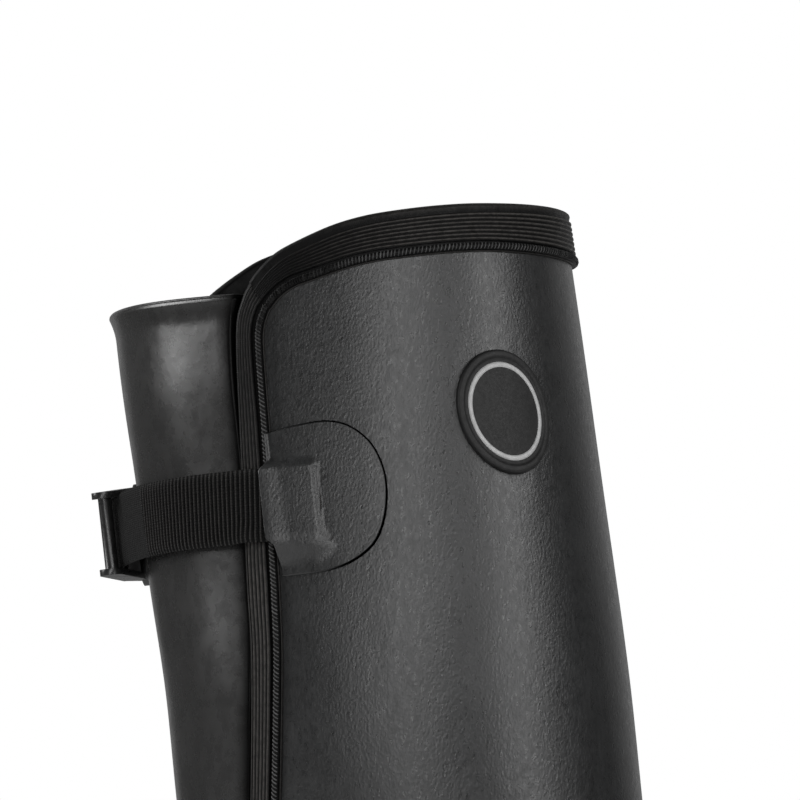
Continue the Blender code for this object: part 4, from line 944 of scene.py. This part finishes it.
def seam_bead(line, finish):
    """The raised bead at the binding's inner edge, all round the loop, with the edge beyond it."""
    at = np.linspace(0.0, line.total, round(line.total / LINE_STEP) + 1)[:-1]
    width, half, _ = binding_measures(line.width_share(at))
    middle = width - BEAD_IN
    profile = [(middle - half - BEAD_LAP, GROOVE_Z - BEAD_FOOT_DOWN, 0.0)]
    profile += [(middle + half * t, bead_height(t), 0.0) for t in np.linspace(-1.0, 1.0, BEAD_ROWS)]
    profile.append((middle + half + BEAD_FAR_LAP, BEAD_FAR_Z, 0.0))
    profile += [(width - inset, height, crest) for inset, height, crest in BINDING_EDGE]
    points = np.vstack([line.beside(at, reach, height) for reach, height, _ in profile])
    # The binding edge's crest is painted pale as a highlight
    crest = np.repeat([crest for _, _, crest in profile], len(at))
    marks = {"along": np.tile(at, len(profile)), "crest": crest}
    faces = quads(len(profile), len(at))
    piece("seam_bead", points, faces, finish, ("binding",), sharp=50.0, marks=marks)


def seam_stitches(line, finish):
    """The stitches that lie slanted across the bead, one after the other round the loop."""
    count = round(line.total / STITCH_PITCH)
    middle_at = np.arange(count) * line.total / count
    width, half, _ = binding_measures(line.width_share(middle_at))
    rng = np.random.default_rng(STITCH_SEED)
    uneven = rng.uniform(-STITCH_UNEVEN, STITCH_UNEVEN, count)
    fat = STITCH_RADIUS * rng.uniform(*STITCH_FATNESS, count)
    probe = 0.5
    rows = []
    for t, thin in STITCH_TAPER:
        at = middle_at + uneven + STITCH_SLANT * t
        reach, height = width - BEAD_IN + half * t, bead_height(t * STITCH_BOW) + STITCH_OUT
        here = line.beside(at, reach, height)
        out = unit(line.beside(at, reach, height + probe) - here)
        aside = unit(line.beside(at + probe, reach, height) - here)
        for turn in np.radians(np.arange(STITCH_SIDES) * 360.0 / STITCH_SIDES):
            rows.append(here + (out * math.cos(turn) + aside * math.sin(turn)) * (fat * thin)[:, None])
    points = np.stack(rows, axis=1).reshape(-1, 3)
    size = len(rows)
    one = tube(len(STITCH_TAPER), STITCH_SIDES)
    faces = [tuple(k * size + i for i in face) for k in range(count) for face in one]
    from_corner = (middle_at - line.front + line.total / 2.0) % line.total - line.total / 2.0
    # Painted shade on the stitches, strongest just past the collar's front corner, uneven from stitch to
    # stitch
    thread_shade = look_up(STITCH_SHADE, from_corner) + rng.uniform(*STITCH_SHADE_UNEVEN, count)
    marks = {"thread_shade": np.repeat(np.clip(thread_shade, 0.0, 1.0), size)}
    piece("seam_stitches", points, faces, finish, sharp=80.0, marks=marks)


def gusset_grid():
    """The gusset's grid of angles and heights, and how far in from its sides and foot each point lies."""
    near, far, _, _ = panel_edges(SKIN_COLUMNS, SKIN_PANEL_ROWS)
    side_foot = NOTCH_CORNER_Z - GUSSET_TUCK
    even = crowded(np.linspace(0.0, 1.0, GUSSET_COLUMNS), GUSSET_SIDE_CROWDING)
    angles, heights, inset = [], [], []
    for up in crowded(np.linspace(0.0, 1.0, GUSSET_ROWS), GUSSET_END_CROWDING):
        z = between(side_foot, GUSSET_TOP_Z, up)
        front = np.interp(z, near[:, 1], near[:, 0])
        rear = np.interp(z, far[:, 1], far[:, 0]) - 360.0
        front += GUSSET_TUCK / degree_mm(front, z)
        rear -= GUSSET_TUCK / degree_mm(rear, z)
        wide = (front - rear) * degree_mm((front + rear) / 2.0, z)
        angle = between(rear, front, even)
        on_floor = np.clip(angle, NOTCH_BACK_ANGLE, NOTCH_FRONT_ANGLE)
        floor = notch_floor(on_floor) - GUSSET_TUCK
        slope = (notch_floor(on_floor + 0.5) - notch_floor(on_floor - 0.5)) / degree_mm(on_floor, z)
        height = between(floor, GUSSET_TOP_Z, up)
        from_floor = (height - floor) / np.sqrt(1.0 + slope**2)
        angles.append(angle)
        heights.append(height)
        inset.append(np.minimum.reduce([even * wide, (1.0 - even) * wide, from_floor]))
    return np.array(angles), np.array(heights), np.array(inset)


def gusset_panel(finish):
    """The smooth rubber gusset, tucked in behind the notch's edges and flared at its top."""
    angle, z, inset = gusset_grid()
    tucked = 1.0 - ease((inset - GUSSET_RISE_FROM) / GUSSET_RISE_OVER)
    shown = 1.0 - tucked
    lip = np.clip((z - GUSSET_TOP_Z + GUSSET_LIP_DEEP) / GUSSET_LIP_DEEP, 0.0, 1.0) ** GUSSET_LIP_BEND
    ripple = np.sin(np.radians(angle * RIPPLE_ROUND + z * RIPPLE_LEAN)) * np.sin(np.radians(z * RIPPLE_UP))
    from_strap = z - strap_z(angle)
    drawn = hump(from_strap / np.where(from_strap > 0.0, GUSSET_DRAWN_ABOVE, GUSSET_DRAWN_BELOW))
    drawn = drawn * ease((angle - GUSSET_DRAWN_FROM) / GUSSET_DRAWN_OVER)
    height = -(WALL + TUCK_GAP) * tucked
    height += shown * (GUSSET_LIP * lip + RIPPLE * ripple - GUSSET_DRAWN_IN * drawn)
    half = GUSSET_THICK / 2.0
    roll = []
    for turn in np.radians(np.linspace(90.0, -90.0, GUSSET_ROLL_ROWS)):
        roll.append(leg(angle[-1], z[-1] + half * math.cos(turn), height[-1] - half + half * math.sin(turn)))
    outer = leg(angle, z, height).reshape(-1, 3)
    inner = leg(angle, z, height - GUSSET_THICK)[::-1].reshape(-1, 3)
    points = np.vstack([outer, *roll, inner])
    # Painted shade, full where the gusset tucks in beside the tape and fading away from it
    shaded = 1.0 - ease((inset - GUSSET_SHADED_FROM) / GUSSET_SHADED_OVER)
    shaded = np.concatenate([shaded.ravel(), np.tile(shaded[-1], len(roll)), shaded[::-1].ravel()])
    faces = quads(2 * GUSSET_ROWS + len(roll), GUSSET_COLUMNS, closed=False)
    marks = {"shaded": shaded}
    piece("gusset_panel", points, faces, finish, ("gusset",), marks=marks)


def strap_z(angle):
    """Height of the strap's middle at an angle."""
    return STRAP_Z + STRAP_FALL * angle


def patch_grid():
    """A patch's grid in millimetres, and each point's distance from its cut edge and from its whole edge."""
    rim = curve(PATCH_OUTLINE)
    gone = lengths(rim)
    even = crowded(np.linspace(0.0, 1.0, PATCH_STEPS + 1), PATCH_CROWDING)

    def stretch(start, end):
        return stations(rim, gone, between(start, end, even) * gone[-1])

    foot, top = stretch(0.0, PATCH_FOOT_SHARE), stretch(1.0, PATCH_TOP_SHARE)
    far = stretch(PATCH_FOOT_SHARE, PATCH_TOP_SHARE)
    near = between(foot[0], top[0], even[:, None])
    from_strap = np.abs(near[:, 1] + PATCH_ABOVE_STRAP) - PATCH_MOUTH_HALF
    near[:, 0] -= PATCH_MOUTH_OUT * (1.0 - ease(from_strap / PATCH_MOUTH_SOFT))
    grid = filled(near, far, foot, top, PATCH_CROWDING)
    from_cut = grid[..., 0] - np.interp(grid[..., 1], near[:, 1], near[:, 0])
    from_rim = np.min(np.linalg.norm(grid[:, :, None] - rim, axis=-1), axis=-1)
    return grid, from_cut, np.minimum(from_cut, from_rim)


def pocket(from_cut, beside):
    """1 over a strap's end and 0 off it, falling steeply ahead of the strap and more slowly beside it."""
    upper = beside > 0.0
    rounded_by = np.where(upper, POCKET_TOP_ROUND, POCKET_LOW_ROUND)
    side_soft = np.where(upper, POCKET_TOP_SOFT, POCKET_LOW_SOFT)
    past_side = np.where(upper, beside - STRAP_ABOVE, -beside - STRAP_BELOW)
    ahead = np.maximum(from_cut - POCKET_LENGTH + rounded_by, 0.0)
    aside = np.maximum(past_side + rounded_by, 0.0)
    turned = aside / np.maximum(ahead + aside, POCKET_END_SOFT)
    soft = between(POCKET_END_SOFT, side_soft, turned)
    return 1.0 - ease((np.hypot(ahead, aside) - rounded_by) / soft)


def shell_faces(count):
    """Faces of a square grid of points, of the same grid behind it and of the wall round the two."""
    total = count * count
    front = quads(count, count, closed=False)
    back = [tuple(total + i for i in reversed(face)) for face in front]
    border = list(range(count)) + [k * count + count - 1 for k in range(1, count)]
    border += [total - 2 - i for i in range(count - 1)] + [k * count for k in range(count - 2, 0, -1)]
    return front + back + [(a, total + a, total + b, b) for a, b in zip(border, border[1:] + border[:1])]


def patch(name, node, angle, lift, over, facing, finish):
    """A rubber patch over a strap's end, with a pocket for it and a cut edge towards the buckle."""
    grid, from_cut, from_edge = patch_grid()
    forwards, upwards = grid[..., 0], grid[..., 1]
    angles = angle + facing * forwards / DEGREE_MM
    heights = strap_z(angle) + PATCH_ABOVE_STRAP + upwards
    down = ease((from_cut - PATCH_OVER_BINDING) / (PATCH_DOWN_BY - PATCH_OVER_BINDING))
    raised = between(FIT_GAP, over, ease((upwards - PATCH_OVER_ABOVE) / PATCH_OVER_SOFT))
    under = between(raised, FIT_GAP, down)
    strap_top = look_up_soft(lift, angles, LIFT_SOFT) + STRAP_THICK * pressed(angles) + POCKET_CLEAR
    in_pocket = pocket(from_cut, heights - strap_z(angles))
    under = between(under, np.maximum(strap_top, under), in_pocket)
    edge = np.clip(from_edge / PATCH_ROUND, 0.0, 1.0)
    towards_end = ease((forwards - PATCH_LINE_FROM) / PATCH_LINE_OVER)
    pared = PATCH_PARED * (1.0 - towards_end) * ease((PATCH_PARED_BELOW - upwards) / PATCH_PARED_SOFT)
    rounded = PATCH_THICK * (1.0 - pared) * np.sqrt(1.0 - (1.0 - edge) ** 2)
    # The rim mark is painted shadow: a dark line along the patch's edge, paler towards its cut edge and on
    # its pared corner, and all of its underside
    rim = between(PATCH_SHADOW_LEFT, 1.0, towards_end) * (1.0 - pared)
    rim = rim * (1.0 - ease((from_edge - PATCH_SHADOW_LINE) / PATCH_SHADOW_LINE))
    rim = np.where(from_edge < from_cut - HAIR, rim, PATCH_CUT_SHADOW * rim)
    outer, inner = leg(angles, heights, under + rounded), leg(angles, heights, under - PATCH_SUNK)
    points = np.vstack([outer.reshape(-1, 3), inner.reshape(-1, 3)])
    marks = {"rim": np.concatenate([rim.ravel(), np.ones(rim.size)])}
    faces = shell_faces(PATCH_STEPS + 1)
    piece(name, points, faces, finish, (node,), sharp=70.0, marks=marks)


class BuckleFrame:
    """The buckle's own axes on the shaft: along the strap, out from the leg and up."""

    def __init__(self):
        here = leg(BUCKLE_ANGLE, BUCKLE_Z)
        self.out = leg(BUCKLE_ANGLE, BUCKLE_Z, 1.0) - here
        along = leg(BUCKLE_ANGLE + 1.0, BUCKLE_Z) - leg(BUCKLE_ANGLE - 1.0, BUCKLE_Z)
        self.along = unit(along - self.out * along.dot(self.out))
        self.up = np.cross(self.out, self.along)
        self.up *= math.copysign(1.0, self.up[2])
        self.up += (0.0, 0.0, BUCKLE_UPRIGHT)
        self.up = unit(self.up - self.along * self.up.dot(self.along))
        across = np.cross(self.along, self.up)
        self.out = across * math.copysign(1.0, across.dot(self.out))
        turn = math.atan(BUCKLE_DIP)
        self.along, self.up = (
            self.along * math.cos(turn) - self.up * math.sin(turn),
            self.up * math.cos(turn) + self.along * math.sin(turn),
        )
        self.origin = here + self.out * BUCKLE_OUT

    def at(self, along, out, up):
        """A point in the part's frame from the buckle's own coordinates."""
        return self.origin + self.along * along + self.out * out + self.up * up


def pressed(angles):
    """How much of its thickness the front strap keeps, as its end lies pressed under its patch."""
    return 1.0 - PRESSED_BY * ease((angles - PRESSED_FROM) / PRESSED_OVER)


def strap_edges(lift, held, front_end, buckle_frame):
    """A strap's lower and upper edge with the stretch that the buckle holds, and the angle at each point."""
    angles = np.linspace(lift[0][0], lift[-1][0], STRAP_STATIONS)
    height = look_up_soft(lift, angles, LIFT_SOFT) + STRAP_THICK / 2.0
    edges = []
    for side in (-STRAP_BELOW, STRAP_ABOVE):
        on_leg = leg(angles, strap_z(angles) + side, height)
        up = math.copysign(STRAP_HELD_HALF, side)
        in_buckle = np.array([buckle_frame.at(a, o, up) for a, o in reversed(held)])
        edges.append(np.vstack([in_buckle, on_leg] if front_end else [on_leg, in_buckle]))
    known = np.pad(angles, (len(held), 0) if front_end else (0, len(held)), "edge")
    return *edges, known


def strap(name, node, lift, held, front_end, buckle_frame, finish):
    """A strap of ribbed webbing along the leg, held in the buckle at one of its ends."""
    low, high, known = strap_edges(lift, held, front_end, buckle_frame)
    middle = (low + high) / 2.0
    steps, gone = lengths(middle), lengths(curve(middle, STRAP_CURVE_STEPS))
    count = round(gone[-1] / WEB_RIB_PITCH * WEB_RIB_POINTS)
    s = np.linspace(0.0, gone[-1], count)
    low, high = (stations(curve(edge, STRAP_CURVE_STEPS), gone, s) for edge in (low, high))
    angle = np.interp(s, steps * gone[-1] / steps[-1], known)

    wide = np.linspace(-1.0, 1.0, WEB_ACROSS)
    line = between(low[None], high[None], ((wide + 1.0) / 2.0)[:, None, None])
    normal = unit(np.cross(np.gradient(line, axis=1), (high - low)[None]))
    middle_angle = lift[len(lift) // 2][0]
    outward = leg(middle_angle, STRAP_Z, 1.0) - leg(middle_angle, STRAP_Z)
    middle_station = np.argmin(np.abs(angle - middle_angle))
    normal *= np.sign(normal[WEB_ACROSS // 2, middle_station].dot(outward))

    half = (STRAP_ABOVE + STRAP_BELOW) / 2.0
    phase = (s[None] + WEB_RIB_LEAN * half * wide[:, None]) / WEB_RIB_PITCH
    ribbed = ease((angle - WEB_PLAIN_FROM) / WEB_PLAIN_OVER) if front_end else np.ones(count)
    ridge = (0.5 + 0.5 * np.cos(2.0 * math.pi * phase)) ** WEB_RIB_SHARP
    ridge = ridge * between(WEB_PLAIN_RIB, 1.0, ribbed)[None]
    ribs_left = 1.0 - SELVEDGE_FALL * np.abs(wide) ** SELVEDGE_FALL_LATE
    thick = STRAP_THICK / 2.0 * (1.0 - SELVEDGE_THIN * np.abs(wide) ** SELVEDGE_THIN_LATE)
    if front_end:
        lower_edge = ease((-ROLL_BELOW - wide) / (1.0 - ROLL_BELOW))[:, None]
        rolled = (hump((angle - ROLL_ANGLE) / ROLL_HALF)[None] * lower_edge)[..., None]
        line = line + unit(high - low)[None] * rolled * ROLL_UP + normal * rolled * ROLL_OUT
    rise = (thick - WEB_RIB_RISE / 2.0)[:, None] + WEB_RIB_RISE * ribs_left[:, None] * ridge
    rise = (rise * pressed(angle)[None])[..., None]
    rows = np.concatenate([line + normal * rise, (line - normal * rise)[::-1]])
    points = rows.transpose(1, 0, 2).reshape(-1, 3)
    across = np.concatenate([wide, wide[::-1]]) * half
    marks = {"ridge": np.concatenate([ridge, ridge[::-1]]).T, "across": np.tile(across, count)}
    piece(name, points, tube(count, len(rows)), finish, (node,), sharp=80.0, marks=marks)


def wound_on_bar():
    """The front strap's path under the plug's near bar and round its web bar, as along and out."""
    radius = WEB_BAR_RADIUS + FIT_GAP + STRAP_THICK / 2.0
    path = [(NEAR_BAR_AT, NEAR_BAR_OUT - NEAR_BAR_RADIUS - FIT_GAP - STRAP_THICK)]
    for turn in np.radians(np.linspace(WRAP_FROM, WRAP_TO, WRAP_STEPS)):
        path.append((WEB_BAR_AT + radius * math.cos(turn), WEB_BAR_OUT + radius * math.sin(turn)))
    return path


def block(buckle_frame, along, half_deep, half_wide):
    """A box in the buckle's frame as points and faces, from its span along and two half sizes."""
    points = []
    for a in along:
        for o in (-half_deep, half_deep):
            points += [buckle_frame.at(a, o, u) for u in (-half_wide, half_wide)]
    faces = [(0, 1, 3, 2), (4, 6, 7, 5), (0, 4, 5, 1), (2, 3, 7, 6), (0, 2, 6, 4), (1, 5, 7, 3)]
    return points, faces


def rail_reach(along):
    """How far from the buckle's middle a rail's outer face lies: the rails close in towards the near end."""
    return between(BUCKLE_HALF_NEAR, BUCKLE_HALF_WIDE, float(ease((RAIL_NEAR - along) / RAIL_NEAR)))


def rail(buckle_frame, side):
    """A side rail of the plug, round at its near end and spreading to the shoulder, as points and faces."""
    half = RAIL_DEEP / 2.0
    turns = np.radians(np.linspace(-90.0, 90.0, RAIL_ROUND_STEPS))
    plan = [(RAIL_FAR, -half)]
    plan += [(RAIL_NEAR - half + half * math.cos(t), half * math.sin(t)) for t in turns]
    plan.append((RAIL_FAR, half))
    points = []
    for inwards in (0.0, RAIL_THICK):
        points += [buckle_frame.at(a, o, side * (rail_reach(a) - inwards)) for a, o in plan]
    return points, tube(2, len(plan))


def bar(buckle_frame, along, out, radius):
    """A round bar from rail to rail as points and faces."""
    reach = rail_reach(along) - RAIL_THICK + BAR_SINK
    turns = [2.0 * math.pi * i / BAR_SIDES for i in range(BAR_SIDES)]
    circle = [(along + radius * math.cos(t), out + radius * math.sin(t)) for t in turns]
    points = [buckle_frame.at(a, o, u) for u in (-reach, reach) for a, o in circle]
    return points, tube(2, BAR_SIDES)


def prong(buckle_frame, side):
    """One spring arm of the plug, bowed out through the socket's window, as points and faces."""
    along = np.linspace(SHOULDER_FAR + PRONG_SINK, PRONG_END, PRONG_STEPS)
    bowed = np.clip((WINDOW_NEAR - along) / (WINDOW_NEAR - PRONG_END), 0.0, 1.0)
    middle = SOCKET_HALF_WIDE - PRONG_THICK - PRONG_CLEAR + PRONG_BULGE * np.sin(math.pi * bowed) ** 2
    corners = ((-1, -1), (1, -1), (1, 1), (-1, 1))
    points = []
    for a, m in zip(along, middle):
        for o, u in corners:
            points.append(buckle_frame.at(a, o * PRONG_DEEP / 2.0, side * (m + u * PRONG_THICK / 2.0)))
    return points, tube(PRONG_STEPS, len(corners))


def shaped_by(name, first, unite, cut, bevel, sharp):
    """One object from closed shapes united and cut, with its edges rounded and its modifiers applied."""
    base = placed(name + "_base", new_mesh(name + "_base", *first))
    tools = []
    for operation, shapes in (("UNION", unite), ("DIFFERENCE", cut)):
        for shape in shapes:
            tool = placed(f"{name}_tool", new_mesh(f"{name}_tool", *shape))
            step = base.modifiers.new("step", "BOOLEAN")
            step.object, step.operation, step.solver = tool, operation, "EXACT"
            tools.append(tool)
    if bevel:
        rounding = base.modifiers.new("rounding", "BEVEL")
        rounding.width, rounding.segments = bevel * MM, BEVEL_SEGMENTS
        rounding.limit_method, rounding.angle_limit = "ANGLE", math.radians(BEVEL_FROM_ANGLE)
        rounding.use_clamp_overlap = True
    graph = bpy.context.evaluated_depsgraph_get()
    mesh = bpy.data.meshes.new_from_object(base.evaluated_get(graph))
    mesh.name = name
    mesh.shade_smooth()
    mesh.set_sharp_from_angle(angle=math.radians(sharp))
    for used in (*tools, base):
        bpy.data.objects.remove(used)
    return placed(name, mesh)


def buckle(buckle_frame, finish):
    """The plug, with its rails, bars and spring arms, and the socket that it clicks into."""
    shoulder_wide = BUCKLE_HALF_WIDE - SHOULDER_INSET
    shoulder = block(buckle_frame, (SHOULDER_FAR, SHOULDER_NEAR), SHOULDER_DEEP / 2.0, shoulder_wide)
    joined = [rail(buckle_frame, side) for side in (-1, 1)]
    joined.append(bar(buckle_frame, NEAR_BAR_AT, NEAR_BAR_OUT, NEAR_BAR_RADIUS))
    joined.append(bar(buckle_frame, WEB_BAR_AT, WEB_BAR_OUT, WEB_BAR_RADIUS))
    joined += [prong(buckle_frame, side) for side in (-1, 1)]
    plug = shaped_by("plug_body", shoulder, joined, [], BUCKLE_BEVEL, BUCKLE_SHARP)
    dress(plug, finish, ("buckle_plug",))

    deep = SOCKET_DEEP / 2.0
    hollow, across = deep - SOCKET_WALL, SOCKET_HALF_WIDE - SOCKET_WALL
    shell = block(buckle_frame, (SOCKET_FAR, SOCKET_NEAR), deep, SOCKET_HALF_WIDE)
    cuts = [
        block(buckle_frame, (CAVITY_FAR, CAVITY_NEAR), hollow, across),
        block(buckle_frame, (WINDOW_FAR, WINDOW_NEAR), hollow, SOCKET_HALF_WIDE + CUT_THROUGH),
        block(buckle_frame, (SLOT_FAR, SLOT_NEAR), deep + CUT_THROUGH, across - SLOT_INSET),
    ]
    socket = shaped_by("socket_body", shell, [], cuts, BUCKLE_BEVEL, BUCKLE_SHARP)
    dress(socket, finish, ("buckle_socket",))


def badge(plate_finish, line_finish):
    """A plain oval badge with a raised rim, and the pale line laid into its face."""
    turns = np.linspace(0.0, 2.0 * math.pi, BADGE_STEPS, endpoint=False)

    def oval(share, height):
        angles = BADGE_ANGLE + share * BADGE_HALF_WIDE * np.sin(turns) / DEGREE_MM
        return leg(angles, BADGE_Z - share * BADGE_HALF_HIGH * np.cos(turns), height)

    points = np.vstack([oval(share, height) for share, height in BADGE_PROFILE])
    faces = quads(len(BADGE_PROFILE), BADGE_STEPS)
    faces.append(tuple(range(len(points) - BADGE_STEPS, len(points))))
    piece("badge_plate", points, faces, plate_finish, ("badge",), sharp=60.0)
    points = np.vstack([oval(share, height) for share, height in BADGE_LINE])
    faces = quads(len(BADGE_LINE), BADGE_STEPS)
    piece("badge_ring", points, faces, line_finish, sharp=60.0)


def outline(columns, off):
    """The feather line's outline, moved level outwards."""
    ring = skin(column_angles(columns), 0.0)
    run = np.roll(ring, -1, axis=0) - np.roll(ring, 1, axis=0)
    ring[:, :2] += unit(np.stack([run[:, 1], -run[:, 0]], axis=-1)) * off
    return ring


def tread_cutters():
    """The gap under the arch and the tread's grooves, each as points and faces."""
    def prism(sides):
        return np.vstack(sides), tube(len(sides), len(sides[0]))

    made = [prism([[(x, y, z) for x, z in ARCH_PROFILE] for y in (-SOLE_REACH, SOLE_REACH)])]
    for at in (*HEEL_GROOVES, *FOREFOOT_GROOVES):
        deep = tread(at) + GROOVE_DEEP
        sweep = GROOVE_SWEEP if at > ARCH_PROFILE[-1][0] else 0.0
        sides = []
        for y in (-SOLE_REACH, 0.0, SOLE_REACH):
            back = at - sweep * abs(y) / SOLE_REACH
            front = back + GROOVE_ACROSS
            mouth = [(back, y, CUT_FROM_Z), (front, y, CUT_FROM_Z)]
            sides.append(mouth + [(front - GROOVE_TAPER, y, deep), (back + GROOVE_TAPER, y, deep)])
        made.append(prism(sides))
    return made


def outsole(finish):
    """The sole: a lip round the upper's foot, ribbed sides, raised heel, arch gap and cut tread."""
    angles = column_angles(SOLE_COLUMNS)
    floor_ring = skin_off(angles, 0.0, FIT_GAP)
    floor_ring[:, 2] = sole_top(floor_ring[:, 0])
    rows = [floor_ring]
    rows += [skin_off(angles, row, FIT_GAP) for row in SOLE_LIP_ROWS]
    for turn in np.radians(np.linspace(0.0, 90.0, SOLE_LIP_ROUND_ROWS)):
        row = SOLE_LIP_ROWS[-1] + SOLE_LIP_ROUND * math.cos(turn)
        rows.append(skin_off(angles, row, between(FIT_GAP, SOLE_LIP_THICK, math.sin(turn))))
    rows += [skin_off(angles, row, SOLE_LIP_THICK) for row in SOLE_LIP_ROWS[-2:0:-1]]
    for share in np.linspace(0.0, 1.0, SOLE_SIDE_ROWS):
        ring = outline(SOLE_COLUMNS, look_up_soft(SOLE_SIDE, share, SOLE_SIDE_SOFT, SOLE_SIDE_SAMPLES))
        ring[:, 2] = between(sole_top(ring[:, 0]), tread(ring[:, 0]), share)
        rows.append(ring)
    body = (np.vstack(rows), capped(len(rows), SOLE_COLUMNS))
    sole = shaped_by("sole_body", body, [], tread_cutters(), bevel=0.0, sharp=40.0)
    dress(sole, finish, ("outsole",))


def insole(finish):
    """The loose insole, with a rounded edge and a slightly hollow top."""
    rows = []
    for off, height in INSOLE_PROFILE:
        ring = outline(SKIN_COLUMNS, off - WALL - INSOLE_CLEAR)
        ring[:, 2] = sole_top(ring[:, 0]) + FIT_GAP + height
        rows.append(ring)
    faces = capped(len(rows), SKIN_COLUMNS)
    made = piece("footbed", np.vstack(rows), faces, finish, ("insole",), sharp=60.0)


def stand(obj, aim, azimuth, away, z, lean=0.0):
    """Puts a camera or light at an azimuth, distance and height in metres, and turns it to its aim."""
    turn = math.radians(azimuth)
    obj.location = Vector((aim.x + away * math.sin(turn), aim.y - away * math.cos(turn), z))
    facing = (aim - obj.location).to_track_quat("-Z", "Y")
    obj.rotation_euler = (facing @ Quaternion((0.0, 0.0, 1.0), math.radians(-lean))).to_euler()


def make_camera():
    """The camera, which stands and looks as the photo's did."""
    camera = placed("camera", bpy.data.cameras.new("camera"))
    camera.data.lens, camera.data.sensor_width = CAMERA_LENS, CAMERA_SENSOR
    camera.data.clip_start, camera.data.clip_end = CAMERA_CLIP_NEAR, CAMERA_CLIP_FAR
    stand(camera, Vector(CAMERA_AIM) * MM, CAMERA_AZIMUTH, CAMERA_AWAY * MM, CAMERA_Z * MM)
    bpy.context.scene.camera = camera


def make_lights():
    """The soft boxes, which the camera doesn't see."""
    for name, (azimuth, away, z, wide, high, power, lean) in LIGHTS.items():
        lamp = bpy.data.lights.new(name, "AREA")
        lamp.shape, lamp.size, lamp.size_y, lamp.energy = "RECTANGLE", wide, high, power
        made = placed(name, lamp)
        made.visible_camera = False
        stand(made, Vector(LIGHT_AIM) * MM, azimuth, away, z, lean)


def make_floor():
    """A round pale floor."""
    finish = Finish("pale_floor", grey(0.8), 0.7, {"Emission Color": WHITE, "Emission Strength": FLOOR_GLOW})
    finish.tint(finish.noise(400.0), grey(0.78), grey(0.82))
    turns = np.linspace(0.0, 2.0 * math.pi, FLOOR_SIDES, endpoint=False)
    rim = [(FLOOR_RADIUS * math.cos(t), FLOOR_RADIUS * math.sin(t), 0.0) for t in turns]
    mesh = bpy.data.meshes.new("floor")
    mesh.from_pydata(rim, [], [tuple(range(FLOOR_SIDES))])
    mesh.materials.append(finish.material)
    placed("floor", mesh)


def make_surround():
    """A surround that is white to the camera and dim as a light."""
    world = bpy.data.worlds.new("surround")
    bpy.context.scene.world = world
    world.use_nodes = True
    nodes, links = world.node_tree.nodes, world.node_tree.links
    background = nodes["Background"]
    background.inputs["Color"].default_value = WHITE
    seen = nodes.new("ShaderNodeLightPath")
    strength = nodes.new("ShaderNodeMapRange")
    strength.inputs["To Min"].default_value = SURROUND_LIGHT
    strength.inputs["To Max"].default_value = 1.0
    links.new(seen.outputs["Is Camera Ray"], strength.inputs["Value"])
    links.new(strength.outputs["Result"], background.inputs["Strength"])


def make_boot(finishes):
    """Every piece of the boot."""
    points, faces = upper_grid(SKIN_COLUMNS, SKIN_LOWER_ROWS, SKIN_PANEL_ROWS, 0.0, True)
    piece("upper_skin", points, faces, finishes["skin"], ("upper",))
    points, faces = upper_grid(LINING_COLUMNS, LINING_LOWER_ROWS, LINING_PANEL_ROWS, -WALL, False)
    piece("upper_lining", points, faces, finishes["lining"], ("upper",))
    line = EdgeLine()
    collar_tape(line, finishes["collar_tape"])
    notch_tape(line, finishes["notch_tape"])
    seam_bead(line, finishes["bead_tape"])
    seam_stitches(line, finishes["thread"])
    gusset_panel(finishes["gusset"])
    rubber, web, buckle_frame = finishes["patch"], finishes["webbing"], BuckleFrame()
    patch("front_patch", "patch_front", FRONT_PATCH_ANGLE, FRONT_STRAP_LIFT, CLEAR_OF_BINDING, 1, rubber)
    patch("rear_patch", "patch_rear", REAR_PATCH_ANGLE, REAR_STRAP_LIFT, FIT_GAP, -1, rubber)
    strap("front_strap", "strap_front", FRONT_STRAP_LIFT, wound_on_bar(), True, buckle_frame, web)
    strap("rear_strap", "strap_rear", REAR_STRAP_LIFT, REAR_STRAP_IN_SLOT[::-1], False, buckle_frame, web)
    buckle(buckle_frame, finishes["plastic"])
    badge(finishes["badge"], finishes["badge_line"])
    outsole(finishes["sole"])
    insole(finishes["footbed"])


def main():
    """The boot and its studio."""
    make_boot(make_finishes())
    bpy.context.scene.view_settings.view_transform = "Standard"
    make_camera()
    make_floor()
    make_surround()
    make_lights()


main()
